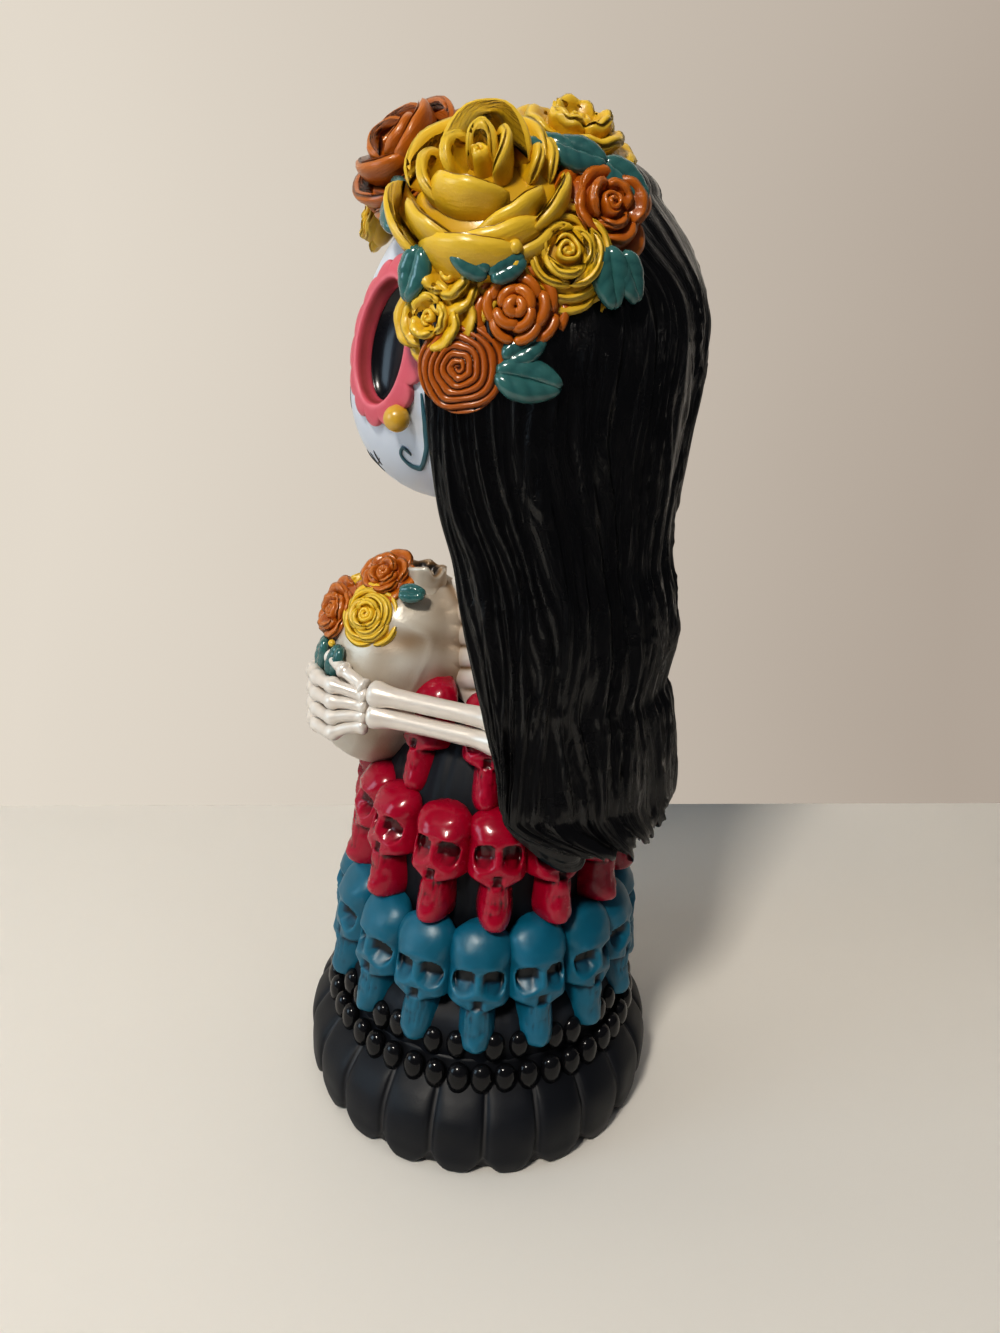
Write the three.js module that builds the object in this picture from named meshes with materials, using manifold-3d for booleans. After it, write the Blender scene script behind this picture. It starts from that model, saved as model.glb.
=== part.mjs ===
// A resin catrina: a small figure of a skeletal lady, cast in one piece and painted.
// Her skirt is made of three rings of skulls over a collar of beads and a lobed hem.
// She holds a heart set with roses, and wears a crown of roses over long, straight hair.
// Millimetres, +Z up, with the middle of the base at the origin. She faces -Y, and her left is +X.

import * as THREE from "three";
import { mergeVertices } from "three/addons/utils/BufferGeometryUtils.js";
import Module from "manifold-3d";

const wasm = await Module();
wasm.setup();

// Driving sizes. Radii of the skirt are measured from front to back.
const SKIRT_WIDTH = 1.13; // the skirt is this many times wider from side to side
const THINNING = 0.16; // how far the skin may move where spare corners are taken out of it

const HEM = {
  lobes: 22,
  columnsPerLobe: 4,
  turn: 4.1, // where a groove between two lobes stands, in degrees from her left
  bulge: 1.7,
  profile: [[43.6, 0], [45.0, 5], [44.4, 14], [40.6, 19.8]],
};

// Two rows of upright beads. Of the upper row, only the beads between the chins show.
const BEADS = {
  count: 44,
  halfWidth: 2.4,
  halfHeight: 3.6,
  sunk: 1.9,
  lower: { radius: 42.2, height: 23.4 },
  upper: { radius: 38.9, height: 30.6, perGap: 2 },
};

const SKIRT_CORE = [[38.4, 27], [37.2, 36], [31, 42], [29.5, 80], [26.5, 92], [22, 106], [14, 121]];

// One skull, from the chin up: height, half width, and how far it stands out on its middle line, at an eye
// and at its side. The nose and the eye sockets are the hollows in the middle of the table.
const SKULL = {
  levels: [
    [0.4, 3.3, 8.4, 7.6, 4.4],
    [9.6, 4.5, 8.2, 7.2, 3.6],
    [13.4, 6.9, 6.0, 7.2, 3.6],
    [17.8, 6.8, 7.2, 2.6, 3.8],
    [22.6, 6.8, 7.8, 7.2, 3.6],
    [29.4, 6.1, 5.6, 4.8, 2.2],
    [33.9, 3.2, 2.0, 1.5, 0.2],
  ],
  eyeShare: 0.54, // an eye's middle, as a share of the half width
  gap: 0.8, // how far the surface between two skulls stands out
  sunk: -5,
};

// The rings of skulls: the axis radius and height of the chin, the share of the full size, how far they lean in,
// where the first one stands, and how much of the crown of the head shows above the eyes.
const SKULL_RINGS = [
  { count: 16, radius: 33.1, chin: 30.2, size: 1, lean: 0, turn: -0.5, crown: 0.8 },
  { count: 14, radius: 29.8, chin: 60.8, size: 0.98, lean: 3, turn: 3.8, crown: 0.66 },
  { count: 9, radius: 22.8, chin: 88, size: 0.9, lean: 6, turn: -43, crown: 0.85 },
];

const HEAD = {
  widest: 178, // height at which the face stands furthest forward
  below: 23.5,
  above: 52,
  front: 38.8,
  back: 33,
  chinForward: 16,
  halfWidth: 34.5,
  middle: 192,
  halfHeight: 37.6,
};

// An eye socket, and the petalled frame round it, on her left. Turn is measured round the head from the front.
const SOCKET = { turn: 34.5, height: 189.3, halfWidth: 8.8, halfHeight: 12.8, deep: 6.5 };
const EYE_FRAME = { petals: 14, width: 4.4, notch: 0.7, proud: 1.4, sunk: 3.5, roundness: 37.5 };
const DROP = { at: new THREE.Vector3(25, -25.2, 174.6), radius: 2.9 };

// The hair, level by level: height, half width, front edge, back, and how far round it closes, in degrees each way.
const HAIR = {
  thickness: 9,
  outside: 19, // columns round the back
  inside: 5, // columns of the way back inside
  levels: [
    [81.4, 37, 21, 43, 108],
    [79.4, 41.5, 19, 46, 112],
    [84, 43, 10.5, 47.4, 120],
    [92, 43, 2.8, 47.2, 122],
    [101, 42.5, 0.4, 45.4, 122],
    [110, 41.8, -2.5, 43, 122],
    [122, 41.5, -6, 42, 122],
    [134, 41, -8.5, 41, 122],
    [146, 40.4, -11.5, 38.6, 122],
    [158, 40.5, -15, 39.4, 122],
    [172, 41.2, -17.5, 40.5, 122],
    [188, 41.3, -19.5, 41.2, 122],
    [202, 38.8, -23, 39.9, 128],
    [213, 33.5, -29, 35.6, 160],
    [222, 25, -23, 28, 175],
  ],
  crown: [0, 2, 229],
};

// The ribcage and neck, level by level: height, half width, front and back. The ribs swell in turn.
const TORSO = [
  [100, 15, -11, 12],
  [113, 18, -12.5, 13],
  [122, 18.5, -12.5, 13],
  [125, 20, -14, 13],
  [128, 18.8, -12.6, 13],
  [131, 20.6, -14, 13],
  [134, 19.2, -12.4, 13],
  [137, 20.8, -13.2, 13],
  [140, 19.6, -11.6, 12],
  [144, 20, -9.5, 11],
  [149, 9, -5, 9],
  [163, 7, -4.5, 9],
];

const HEART = {
  apex: new THREE.Vector3(0, -36.5, 86.5),
  top: new THREE.Vector3(5, -16.5, 137),
  profile: [[0.01, 5.5], [0.1, 11], [0.26, 15.3], [0.5, 17.8], [0.72, 17], [0.88, 12.5], [0.97, 6.5]],
  squash: 0.95,
};

const AORTA = { from: new THREE.Vector3(7, -21, 128), to: new THREE.Vector3(8, -19, 138.8), radius: 4.4, bore: 2.6 };

const ARM = {
  shoulder: new THREE.Vector3(24, -8.5, 143),
  elbow: new THREE.Vector3(34.5, 2, 108.5),
  wrist: new THREE.Vector3(22.5, -30.5, 109),
  boneRadius: 2.3,
  boneGap: 5.3, // from the middle of one forearm bone to the middle of the other
  humerusRadius: 3.2,
};

const HAND = {
  spacing: 4,
  radius: 2.1,
  fingers: 4,
  joints: [[22.5, -30.5, 110.5], [20.5, -39, 112], [13.5, -44.6, 111.6], [5.5, -46, 111.2]],
  gather: 0.6, // how close the fingers start at the wrist, as a share of their spacing
  thumb: [[22.5, -31, 112], [18, -37.5, 115.5], [12.5, -41, 116.8]],
};

const YELLOW = "yellow";
const ORANGE = "orange";

// The roses of the crown: kind, place, the way each faces, and radius.
const CROWN_ROSES = [
  { colour: YELLOW, at: [31.5, -10, 218.5], faces: [0.68, -0.14, 0.72], radius: 17.5, petals: 6, full: true },
  { colour: YELLOW, at: [35, 6, 206], faces: [0.95, 0.15, 0.2], radius: 10.5, petals: 5 },
  { colour: ORANGE, at: [30.5, 13.5, 216], faces: [0.85, 0.35, 0.3], radius: 10, petals: 5 },
  { colour: ORANGE, at: [39, -1.5, 197], faces: [1, -0.05, 0.1], radius: 9.5, petals: 5 },
  { colour: ORANGE, at: [38.5, -11.8, 185.5], faces: [0.98, -0.2, 0.05], radius: 9, petals: 5 },
  { colour: YELLOW, at: [36, -14.5, 201.5], faces: [0.9, -0.4, 0.1], radius: 8, petals: 4 },
  { colour: YELLOW, at: [36, -16.5, 195], faces: [0.85, -0.5, 0], radius: 6.5, petals: 4 },
  { colour: ORANGE, at: [1, -26, 225], faces: [0.1, -0.75, 0.6], radius: 16, petals: 6, full: true },
  { colour: YELLOW, at: [13, 9, 230], faces: [0.3, 0.25, 0.9], radius: 12, petals: 5 },
  { colour: YELLOW, at: [-12, 4, 231], faces: [-0.25, 0.2, 0.93], radius: 12, petals: 5 },
  { colour: YELLOW, at: [-19, -30, 210], faces: [-0.45, -0.85, 0.2], radius: 10, petals: 5 },
  { colour: YELLOW, at: [-32, -8, 218.5], faces: [-0.7, -0.12, 0.7], radius: 16.5, petals: 6, full: true },
  { colour: ORANGE, at: [-36, -17.5, 202], faces: [-0.88, -0.45, 0.1], radius: 9, petals: 5 },
  { colour: YELLOW, at: [-38.5, -2, 197.5], faces: [-1, -0.05, 0.1], radius: 9.5, petals: 5 },
  { colour: ORANGE, at: [-34.5, 9, 206.5], faces: [-0.92, 0.2, 0.25], radius: 10.5, petals: 5 },
  { colour: ORANGE, at: [-38.2, -12.2, 187], faces: [-0.96, -0.25, 0.05], radius: 8.6, petals: 5 },
];

const HEART_ROSES = [
  { colour: ORANGE, at: [7, -27.5, 134], faces: [0.5, -0.35, 0.8], radius: 6.6, petals: 5 },
  { colour: YELLOW, at: [13, -31, 127], faces: [0.85, -0.45, 0.35], radius: 7.6, petals: 5 },
  { colour: ORANGE, at: [2, -37, 125.5], faces: [0.1, -0.9, 0.4], radius: 8, petals: 5 },
  { colour: YELLOW, at: [-9, -34.5, 128], faces: [-0.6, -0.7, 0.4], radius: 7, petals: 5 },
];

// Leaves: place, the way the tip points, the way the blade faces, and length.
const LEAVES = [
  { at: [37, -20, 206], tip: [0.1, -0.35, -0.9], faces: [0.8, -0.6, 0.1], length: 10 },
  { at: [42, -8, 203.5], tip: [0.1, -0.85, 0.5], faces: [1, 0, 0.1], length: 8 },
  { at: [42, -6, 203], tip: [0.1, 0.85, 0.5], faces: [1, 0, 0.1], length: 7 },
  { at: [35.5, 16, 209], tip: [0.1, 0.3, -0.95], faces: [0.85, 0.5, 0.1], length: 13 },
  { at: [34.5, 19.5, 208.5], tip: [0, 0.45, -0.85], faces: [0.8, 0.6, 0.1], length: 11 },
  { at: [41, -2, 188], tip: [0.05, 0.85, -0.5], faces: [1, 0.1, 0.1], length: 13 },
  { at: [41, -4.5, 185], tip: [0.05, 0.95, -0.1], faces: [1, 0.1, 0.1], length: 10 },
  { at: [30, 6, 225], tip: [0.25, -0.75, 0.5], faces: [0.8, 0.1, 0.6], length: 9 },
  { at: [29, 9, 224.5], tip: [0.2, 0.9, -0.25], faces: [0.7, 0.3, 0.65], length: 15 },
  { at: [15, -27, 219], tip: [0.8, -0.3, -0.45], faces: [0.5, -0.8, 0.4], length: 13 },
  { at: [-15, -27, 219], tip: [-0.85, -0.2, -0.3], faces: [-0.4, -0.8, 0.5], length: 12 },
  { at: [-30, -24, 209], tip: [-0.2, -0.3, -0.9], faces: [-0.7, -0.7, 0.1], length: 10 },
  { at: [-40.5, 1, 190], tip: [-0.1, 0.8, -0.6], faces: [-1, 0.1, 0.1], length: 12 },
  { at: [-34.5, 18, 207], tip: [-0.1, 0.4, -0.9], faces: [-0.85, 0.5, 0.1], length: 12 },
  { at: [16, -25, 133], tip: [0.5, 0.85, 0.1], faces: [0.85, -0.3, 0.5], length: 8 },
  { at: [15, -38, 119], tip: [0.2, -0.55, -0.8], faces: [0.7, -0.7, 0.2], length: 8 },
  { at: [9, -42, 119], tip: [-0.1, -0.3, -0.9], faces: [0.3, -0.95, 0.2], length: 9 },
];

const degrees = THREE.MathUtils.degToRad;
const vector = (list) => new THREE.Vector3(...list);

// A closed geometry as a solid: only places count, and faces that shrink to a line at a pole are dropped.
function toSolid(geometry) {
  const bare = geometry.clone();
  bare.deleteAttribute("normal");
  bare.deleteAttribute("uv");
  const merged = mergeVertices(bare, 1e-3);
  const corners = merged.index.array;
  const faces = [];
  for (let i = 0; i < corners.length; i += 3) {
    const [a, b, c] = corners.subarray(i, i + 3);
    if (a !== b && b !== c && c !== a) faces.push([a, b, c]);
  }
  const solidOf = (list) =>
    new wasm.Manifold(
      new wasm.Mesh({
        numProp: 3,
        vertProperties: merged.attributes.position.array,
        triVerts: new Uint32Array(list.flat()),
      }),
    );
  const solid = solidOf(faces);
  return solid.volume() > 0 ? solid : solidOf(faces.map(([a, b, c]) => [a, c, b]));
}

function joined(solids) {
  return solids.reduce((all, one) => all.add(one));
}

// A closed skin of columns and rows. at(u, v) places each point: u goes once round, and v from the low pole to
// the high one. Each square is split along its shorter diagonal, or along the longer one where the skin is pitted.
function skin(columns, rows, at, pitted = false) {
  const geometry = new THREE.SphereGeometry(1, columns, rows);
  const { position, uv } = geometry.attributes;
  const points = [];
  for (let i = 0; i < position.count; i++) {
    points.push(at(uv.getX(i), uv.getY(i)));
    position.setXYZ(i, ...points[i].toArray());
  }
  const faces = [];
  for (let row = 0; row < rows; row++) {
    for (let column = 0; column < columns; column++) {
      const b = row * (columns + 1) + column;
      const [a, c, d] = [b + 1, b + columns + 1, b + columns + 2];
      const across = points[b].distanceTo(points[d]) < points[a].distanceTo(points[c]) - 1e-6;
      if (row === 0) faces.push(b, c, d);
      else if (row === rows - 1) faces.push(a, b, d);
      else if (across !== pitted) faces.push(a, b, d, b, c, d);
      else faces.push(a, b, c, a, c, d);
    }
  }
  geometry.setIndex(faces);
  return toSolid(geometry);
}

// Puts a solid made about its own origin, with its front along +Z and its top along +Y, in its place.
function placed(solid, at, faces, up = new THREE.Vector3(0, 0, 1)) {
  const z = faces.clone().normalize();
  const x = up.clone().cross(z).normalize();
  const y = z.clone().cross(x);
  const frame = new THREE.Matrix4().makeBasis(x, y, z).setPosition(at);
  return solid.transform(frame.elements);
}

function mirrored(solid) {
  return solid.mirror([1, 0, 0]);
}

// A body turned about the Z axis from a profile of [radius, height], reshaped point by point.
function turned(profile, columns, reshape, pitted = false) {
  const rows = profile.length + 1;
  const made = (u, v) => {
    if (v === 0) return new THREE.Vector3(0, 0, profile[0][1]);
    if (v === 1) return new THREE.Vector3(0, 0, profile.at(-1)[1]);
    const [radius, height] = profile[Math.round(v * rows) - 1];
    const turn = (Math.round(u * columns) % columns) / columns;
    return reshape(radius, turn, height);
  };
  return skin(columns, rows, made, pitted);
}

// The lobed hem, with the lower row of beads on it: each lobe swells between two grooves.
function hem() {
  const { radius, height } = BEADS.lower;
  const row = [[radius, height], [radius - 3.4, height + BEADS.halfHeight]];
  const columns = HEM.lobes * HEM.columnsPerLobe;
  return turned([...HEM.profile, ...row], columns, (reach, turn, level) => {
    const swell = HEM.bulge * Math.abs(Math.sin(turn * HEM.lobes * Math.PI)) ** 0.6;
    const between = Math.round(turn * columns) % 2 === 1;
    const onBeads = level === height && between ? -BEADS.sunk : 0;
    const change = level < height ? swell : onBeads;
    return onSkirt(reach + change, turn * 360 + HEM.turn, level);
  });
}

function skirtCore() {
  return turned(SKIRT_CORE, 20, (radius, turn, height) => onSkirt(radius, turn * 360, height));
}

function onSkirt(radius, turn, height) {
  return new THREE.Vector3(radius * SKIRT_WIDTH * Math.cos(degrees(turn)), radius * Math.sin(degrees(turn)), height);
}

function upperBeads() {
  const { count, halfWidth, halfHeight, upper } = BEADS;
  const bead = toSolid(new THREE.OctahedronGeometry(1).scale(halfWidth, halfWidth, halfHeight));
  const chins = SKULL_RINGS[0];
  const gap = 360 / chins.count;
  const solids = [];
  for (let i = 0; i < chins.count; i++) {
    for (let j = 0; j < upper.perGap; j++) {
      const turn = chins.turn + gap * (i + 0.5) + (j - (upper.perGap - 1) / 2) * (360 / count) * 0.8;
      solids.push(bead.rotate([0, 0, turn]).translate(onSkirt(upper.radius, turn, upper.height).toArray()));
    }
  }
  return solids;
}

// One ring of skulls: for each skull five columns of points over its face, then one in the gap beside it.
function skullRing({ count, radius, chin, size, lean, turn, crown }) {
  const { levels, eyeShare, gap, sunk } = SKULL;
  const shares = [-1, -eyeShare, 0, eyeShare, 1];
  const columns = count * 6;
  const rows = levels.length + 3;
  const brow = levels[3][0];
  const made = (u, v) => {
    const row = Math.round(v * rows) - 2;
    const column = Math.round(u * columns) % columns;
    const inGap = column % 6 === 5;
    const share = inGap ? 0 : shares[column % 6];
    const level = levels[THREE.MathUtils.clamp(row, 0, levels.length - 1)];
    const [full, halfWidth, middle, eye, side] = level;
    const height = Math.min(full, brow) + Math.max(0, full - brow) * crown;
    const faceReach = share === 0 ? middle : Math.abs(share) === 1 ? side : eye;
    const hidden = row < 0 || row >= levels.length;
    const reach = hidden ? sunk : inGap ? gap : faceReach;
    if (v === 0 || v === 1) return new THREE.Vector3(0, 0, chin + height);
    const spot = new THREE.Vector3(reach, hidden ? 0 : share * halfWidth, height).multiplyScalar(size);
    spot.applyAxisAngle(new THREE.Vector3(0, 1, 0), -degrees(lean));
    const angle = turn + (360 / count) * (Math.floor(column / 6) + (inGap ? 0.5 : hidden ? share / 4 : 0));
    spot.applyAxisAngle(new THREE.Vector3(0, 0, 1), degrees(angle));
    return spot.add(onSkirt(radius, angle, chin));
  };
  return skin(columns, rows, made, true);
}

// A point of the head: turn is 0 at the front and goes to her left, and height is in millimetres above the base.
function headPoint(turn, height) {
  const low = height < HEAD.widest;
  const off = (height - HEAD.widest) / (low ? HEAD.below : HEAD.above);
  const deep = Math.sqrt(Math.max(0, 1 - off * off));
  const middle = low ? -HEAD.chinForward * (1 - deep) : 0;
  const wide = Math.sqrt(Math.max(0, 1 - ((height - HEAD.middle) / HEAD.halfHeight) ** 2));
  const ahead = Math.cos(turn);
  const reach = ahead > 0 ? HEAD.front * ahead ** 1.2 : HEAD.back * ahead;
  return new THREE.Vector3(HEAD.halfWidth * wide * Math.sin(turn), middle - deep * reach, height);
}

// A place on the face by an eye socket: across towards her left and up, in millimetres from its middle.
function besideSocket(across, up) {
  return headPoint(degrees(SOCKET.turn) + across / EYE_FRAME.roundness, SOCKET.height + up);
}

function socketFacing() {
  const right = besideSocket(4, 0).sub(besideSocket(-4, 0));
  const up = besideSocket(0, 4).sub(besideSocket(0, -4));
  return right.cross(up).normalize();
}

// The bowl that is cut out of the head for an eye.
function socket() {
  const bowl = skin(14, 6, (u, v) => {
    const turn = u * 2 * Math.PI;
    const lift = v * Math.PI;
    const round = Math.sin(lift);
    return new THREE.Vector3(
      SOCKET.halfWidth * round * Math.cos(turn),
      SOCKET.halfHeight * round * Math.sin(turn),
      -SOCKET.deep * Math.cos(lift),
    );
  });
  return placed(bowl, besideSocket(0, 0), socketFacing());
}

// The petalled frame round an eye: a scalloped plate with an oval hole, laid on the face.
function eyeFrame() {
  const outline = new THREE.Shape();
  const points = EYE_FRAME.petals * 2;
  for (let i = 0; i < points; i++) {
    const turn = ((i + 0.5) / points) * 2 * Math.PI;
    const reach = EYE_FRAME.width * (i % 2 === 0 ? EYE_FRAME.notch : 1);
    const x = (SOCKET.halfWidth + reach) * Math.cos(turn);
    const y = (SOCKET.halfHeight + reach) * Math.sin(turn);
    if (i === 0) outline.moveTo(x, y);
    else outline.lineTo(x, y);
  }
  const [rx, ry] = [SOCKET.halfWidth - 0.2, SOCKET.halfHeight - 0.2];
  outline.holes.push(new THREE.Path().absellipse(0, 0, rx, ry, 0, 2 * Math.PI, true));
  const depth = EYE_FRAME.proud + EYE_FRAME.sunk;
  const geometry = new THREE.ExtrudeGeometry(outline, { depth, bevelEnabled: false, curveSegments: 14 });
  const { position } = geometry.attributes;
  const facing = socketFacing();
  for (let i = 0; i < position.count; i++) {
    const place = besideSocket(position.getX(i), position.getY(i));
    place.addScaledVector(facing, position.getZ(i) - EYE_FRAME.sunk);
    position.setXYZ(i, place.x, place.y, place.z);
  }
  return toSolid(geometry);
}

function head() {
  const lowest = HEAD.widest - HEAD.below;
  const highest = HEAD.middle + HEAD.halfHeight;
  const middle = (lowest + highest) / 2;
  const skullcap = skin(18, 11, (u, v) => {
    const height = middle - ((highest - lowest) / 2) * Math.cos(v * Math.PI);
    if (v === 0) return new THREE.Vector3(0, -HEAD.chinForward, lowest);
    if (v === 1) return new THREE.Vector3(0, 0, highest);
    return headPoint(u * 2 * Math.PI, height);
  });
  const bowl = socket();
  const drop = toSolid(new THREE.SphereGeometry(DROP.radius, 6, 4)).translate(DROP.at.toArray());
  const ornaments = [eyeFrame(), drop];
  return [skullcap.subtract(bowl).subtract(mirrored(bowl)), ...ornaments, ...ornaments.map(mirrored)];
}

// The hair: at each level a loop that runs round the back from one front edge to the other, and returns inside.
function hair() {
  const { levels, thickness, crown, outside, inside } = HAIR;
  const columns = outside + inside;
  const rows = levels.length + 1;
  return skin(columns, rows, (u, v) => {
    if (v === 0) return new THREE.Vector3(0, 24, 88);
    if (v === 1) return vector(crown);
    const [height, halfWidth, front, back, reach] = levels[Math.round(v * rows) - 1];
    const column = Math.round(u * columns) % columns;
    const middle = Math.max(Math.min(front + 14, 4), front);
    const closed = reach > 140;
    if (column < outside) {
      const side = (2 * column) / (outside - 1) - 1;
      const angle = degrees(reach) * side;
      const past = Math.max(0, Math.abs(angle) - Math.PI / 2) / (degrees(reach) - Math.PI / 2);
      if (past === 0 || closed) {
        const deep = Math.cos(angle) > 0 ? back - middle : middle - front;
        return new THREE.Vector3(halfWidth * Math.sin(angle), middle + deep * Math.cos(angle), height);
      }
      return new THREE.Vector3(
        halfWidth * Math.sign(angle) * (1 - 0.08 * past * past),
        middle + (front - middle) * past,
        height,
      );
    }
    const side = 1 - (2 * (column - outside + 1)) / (inside + 1);
    const narrow = closed ? 0.25 : 1;
    const x = (halfWidth - thickness) * narrow * Math.sign(side) * Math.abs(side) ** 0.4;
    const deep = height < 152 ? 9 : -4;
    const y = closed ? middle : THREE.MathUtils.lerp(deep, front + 4, Math.abs(side) ** 3);
    return new THREE.Vector3(x, y, height);
  });
}

// A body from a table of levels: height, half width, front and back, closed flat below and above.
function fromLevels(levels, columns) {
  const rows = levels.length + 1;
  return skin(columns, rows, (u, v) => {
    const row = THREE.MathUtils.clamp(Math.round(v * rows) - 1, 0, levels.length - 1);
    const [height, halfWidth, front, back] = levels[row];
    const round = v === 0 || v === 1 ? 0 : 1;
    const turn = u * 2 * Math.PI;
    const middle = (front + back) / 2;
    return new THREE.Vector3(
      halfWidth * round * Math.sin(turn),
      middle + ((back - front) / 2) * round * Math.cos(turn),
      height,
    );
  });
}

// A body swept straight from one point to another, with its radii read from a profile of [share, radius].
function spindle(from, to, profile, columns, squash = 1) {
  const length = from.distanceTo(to);
  const rows = profile.length + 1;
  const made = skin(columns, rows, (u, v) => {
    if (v === 0) return new THREE.Vector3(0, 0, 0);
    if (v === 1) return new THREE.Vector3(0, 0, length);
    const [share, radius] = profile[Math.round(v * rows) - 1];
    const turn = u * 2 * Math.PI;
    return new THREE.Vector3(radius * squash * Math.cos(turn), radius * Math.sin(turn), share * length);
  });
  const along = to.clone().sub(from);
  const up = Math.abs(along.z) > 0.9 * length ? new THREE.Vector3(0, 1, 0) : new THREE.Vector3(0, 0, 1);
  return placed(made, from, along, up);
}

// A bone with a knob at each end.
function bone(from, to, radius) {
  const knob = radius * 1.35;
  return spindle(from, to, [[0.04, knob], [0.2, radius], [0.85, radius], [0.97, knob]], 6);
}

// A finger: a four-sided tube through its joints.
function finger(joints, radius) {
  const columns = 4;
  const rows = joints.length + 1;
  const along = joints.at(-1).clone().sub(joints[0]).normalize();
  const across = new THREE.Vector3(0, 0, 1).cross(along).normalize();
  const up = along.clone().cross(across);
  return skin(columns, rows, (u, v) => {
    const row = THREE.MathUtils.clamp(Math.round(v * rows) - 1, 0, joints.length - 1);
    const place = joints[row].clone();
    if (v === 0) return place.addScaledVector(along, -radius * 0.4);
    if (v === 1) return place.addScaledVector(along, radius * 0.6);
    const turn = u * 2 * Math.PI;
    return place.addScaledVector(across, radius * Math.cos(turn)).addScaledVector(up, radius * Math.sin(turn));
  });
}

function heart() {
  const body = spindle(HEART.apex, HEART.top, HEART.profile, 12, HEART.squash);
  const pipe = spindle(AORTA.from, AORTA.to, [[0.01, AORTA.radius], [0.75, AORTA.radius * 0.92], [0.99, AORTA.radius]], 8);
  const along = AORTA.to.clone().sub(AORTA.from);
  const mouth = AORTA.from.clone().addScaledVector(along, 1.1);
  const floor = AORTA.from.clone().addScaledVector(along, 0.7);
  const bore = spindle(floor, mouth, [[0.01, AORTA.bore * 0.8], [0.99, AORTA.bore]], 8);
  return body.add(pipe).subtract(bore);
}

function arm() {
  const { shoulder, elbow, wrist, boneRadius, boneGap, humerusRadius } = ARM;
  const above = new THREE.Vector3(0, 0, boneGap / 2);
  const below = new THREE.Vector3(0, 0, -boneGap / 2);
  return [
    bone(shoulder, elbow, humerusRadius),
    bone(elbow.clone().add(above), wrist.clone().add(above), boneRadius),
    bone(elbow.clone().add(below), wrist.clone().add(below), boneRadius),
  ];
}

// A hand laid round the front of the heart: stacked fingers that spread from the wrist, and a thumb above them.
function hand() {
  const { joints, spacing, radius, fingers, gather, thumb } = HAND;
  const solids = [finger(thumb.map(vector), radius)];
  for (let i = 0; i < fingers; i++) {
    const path = joints.map((joint, j) => vector(joint).add(new THREE.Vector3(0, 0, -i * spacing * (j ? 1 : gather))));
    solids.push(finger(path, radius));
  }
  return solids;
}

// The rings of a rose from the bud outwards: share of the radius, share of it that the ring rises, and petal ring.
const OPEN_ROSE = [[0.34, 0.6, 0], [0.46, 0.26, 0], [0.74, 0.42, 1], [1, 0.06, 2]];
const FULL_ROSE = [[0.24, 0.62, 0], [0.32, 0.36, 0], [0.54, 0.56, 1], [0.64, 0.2, 1], [0.86, 0.34, 2], [1, 0, 3]];

// A rose: rings of petals round a bud, each ring notched between its petals and tipped a little to one side.
function rose({ at, faces, radius, petals, full = false }) {
  const rings = full ? FULL_ROSE : OPEN_ROSE;
  const columns = petals * 2;
  const rows = rings.length + 1;
  const made = skin(columns, rows, (u, v) => {
    if (v === 1) return new THREE.Vector3(0, 0, radius * 0.5);
    if (v === 0) return new THREE.Vector3(0, 0, -radius * 0.35);
    const [share, lift, ring] = rings[rings.length - Math.round(v * rows)];
    const turn = u * 2 * Math.PI;
    const notched = ((Math.round(u * columns) % columns) + ring) % 2 === 1;
    const spread = radius * share * (notched ? 0.9 : 1.02);
    const height = radius * (lift + 0.05 * Math.cos(turn + ring * 2.4) - (notched ? 0.04 : 0));
    return new THREE.Vector3(spread * Math.cos(turn), spread * Math.sin(turn), height);
  });
  return placed(made, vector(at), vector(faces));
}

// A leaf: a flat spindle with a rib along its middle.
function leaf({ at, tip, faces, length }) {
  const blade = skin(4, 3, (u, v) => {
    const turn = u * 2 * Math.PI;
    const swell = Math.sin(v * Math.PI);
    return new THREE.Vector3(length * 0.34 * swell * Math.cos(turn), length * (v - 0.15), 1.7 * swell * Math.sin(turn));
  });
  return placed(blade, vector(at), vector(faces), vector(tip));
}

function figure() {
  const left = [...arm(), ...hand()];
  return joined([
    hem(),
    skirtCore(),
    ...upperBeads(),
    ...SKULL_RINGS.map(skullRing),
    fromLevels(TORSO, 12),
    hair(),
    ...head(),
    heart(),
    ...left,
    ...left.map(mirrored),
    ...[...CROWN_ROSES, ...HEART_ROSES].map(rose),
    ...LEAVES.map(leaf),
  ]);
}

// Only the outermost skin: what it closes in on all sides is solid resin.
function outerFaces(points, faces) {
  const owner = points.map((_, i) => i);
  const root = (i) => {
    while (owner[i] !== i) i = owner[i] = owner[owner[i]];
    return i;
  };
  for (const [a, b, c] of faces) {
    owner[root(b)] = root(a);
    owner[root(c)] = root(a);
  }
  const lowest = points.reduce((low, point, i) => (point.z < points[low].z ? i : low), 0);
  return faces.filter(([a]) => root(a) === root(lowest));
}

function triangleOf(points, [a, b, c]) {
  return new THREE.Triangle(points[a], points[b], points[c]);
}

// A face so thin that the way it faces means nothing.
function isSliver({ a, b, c }) {
  const longest = Math.max(a.distanceTo(b), b.distanceTo(c), c.distanceTo(a));
  return new THREE.Triangle(a, b, c).getArea() < 0.01 * longest;
}

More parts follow.
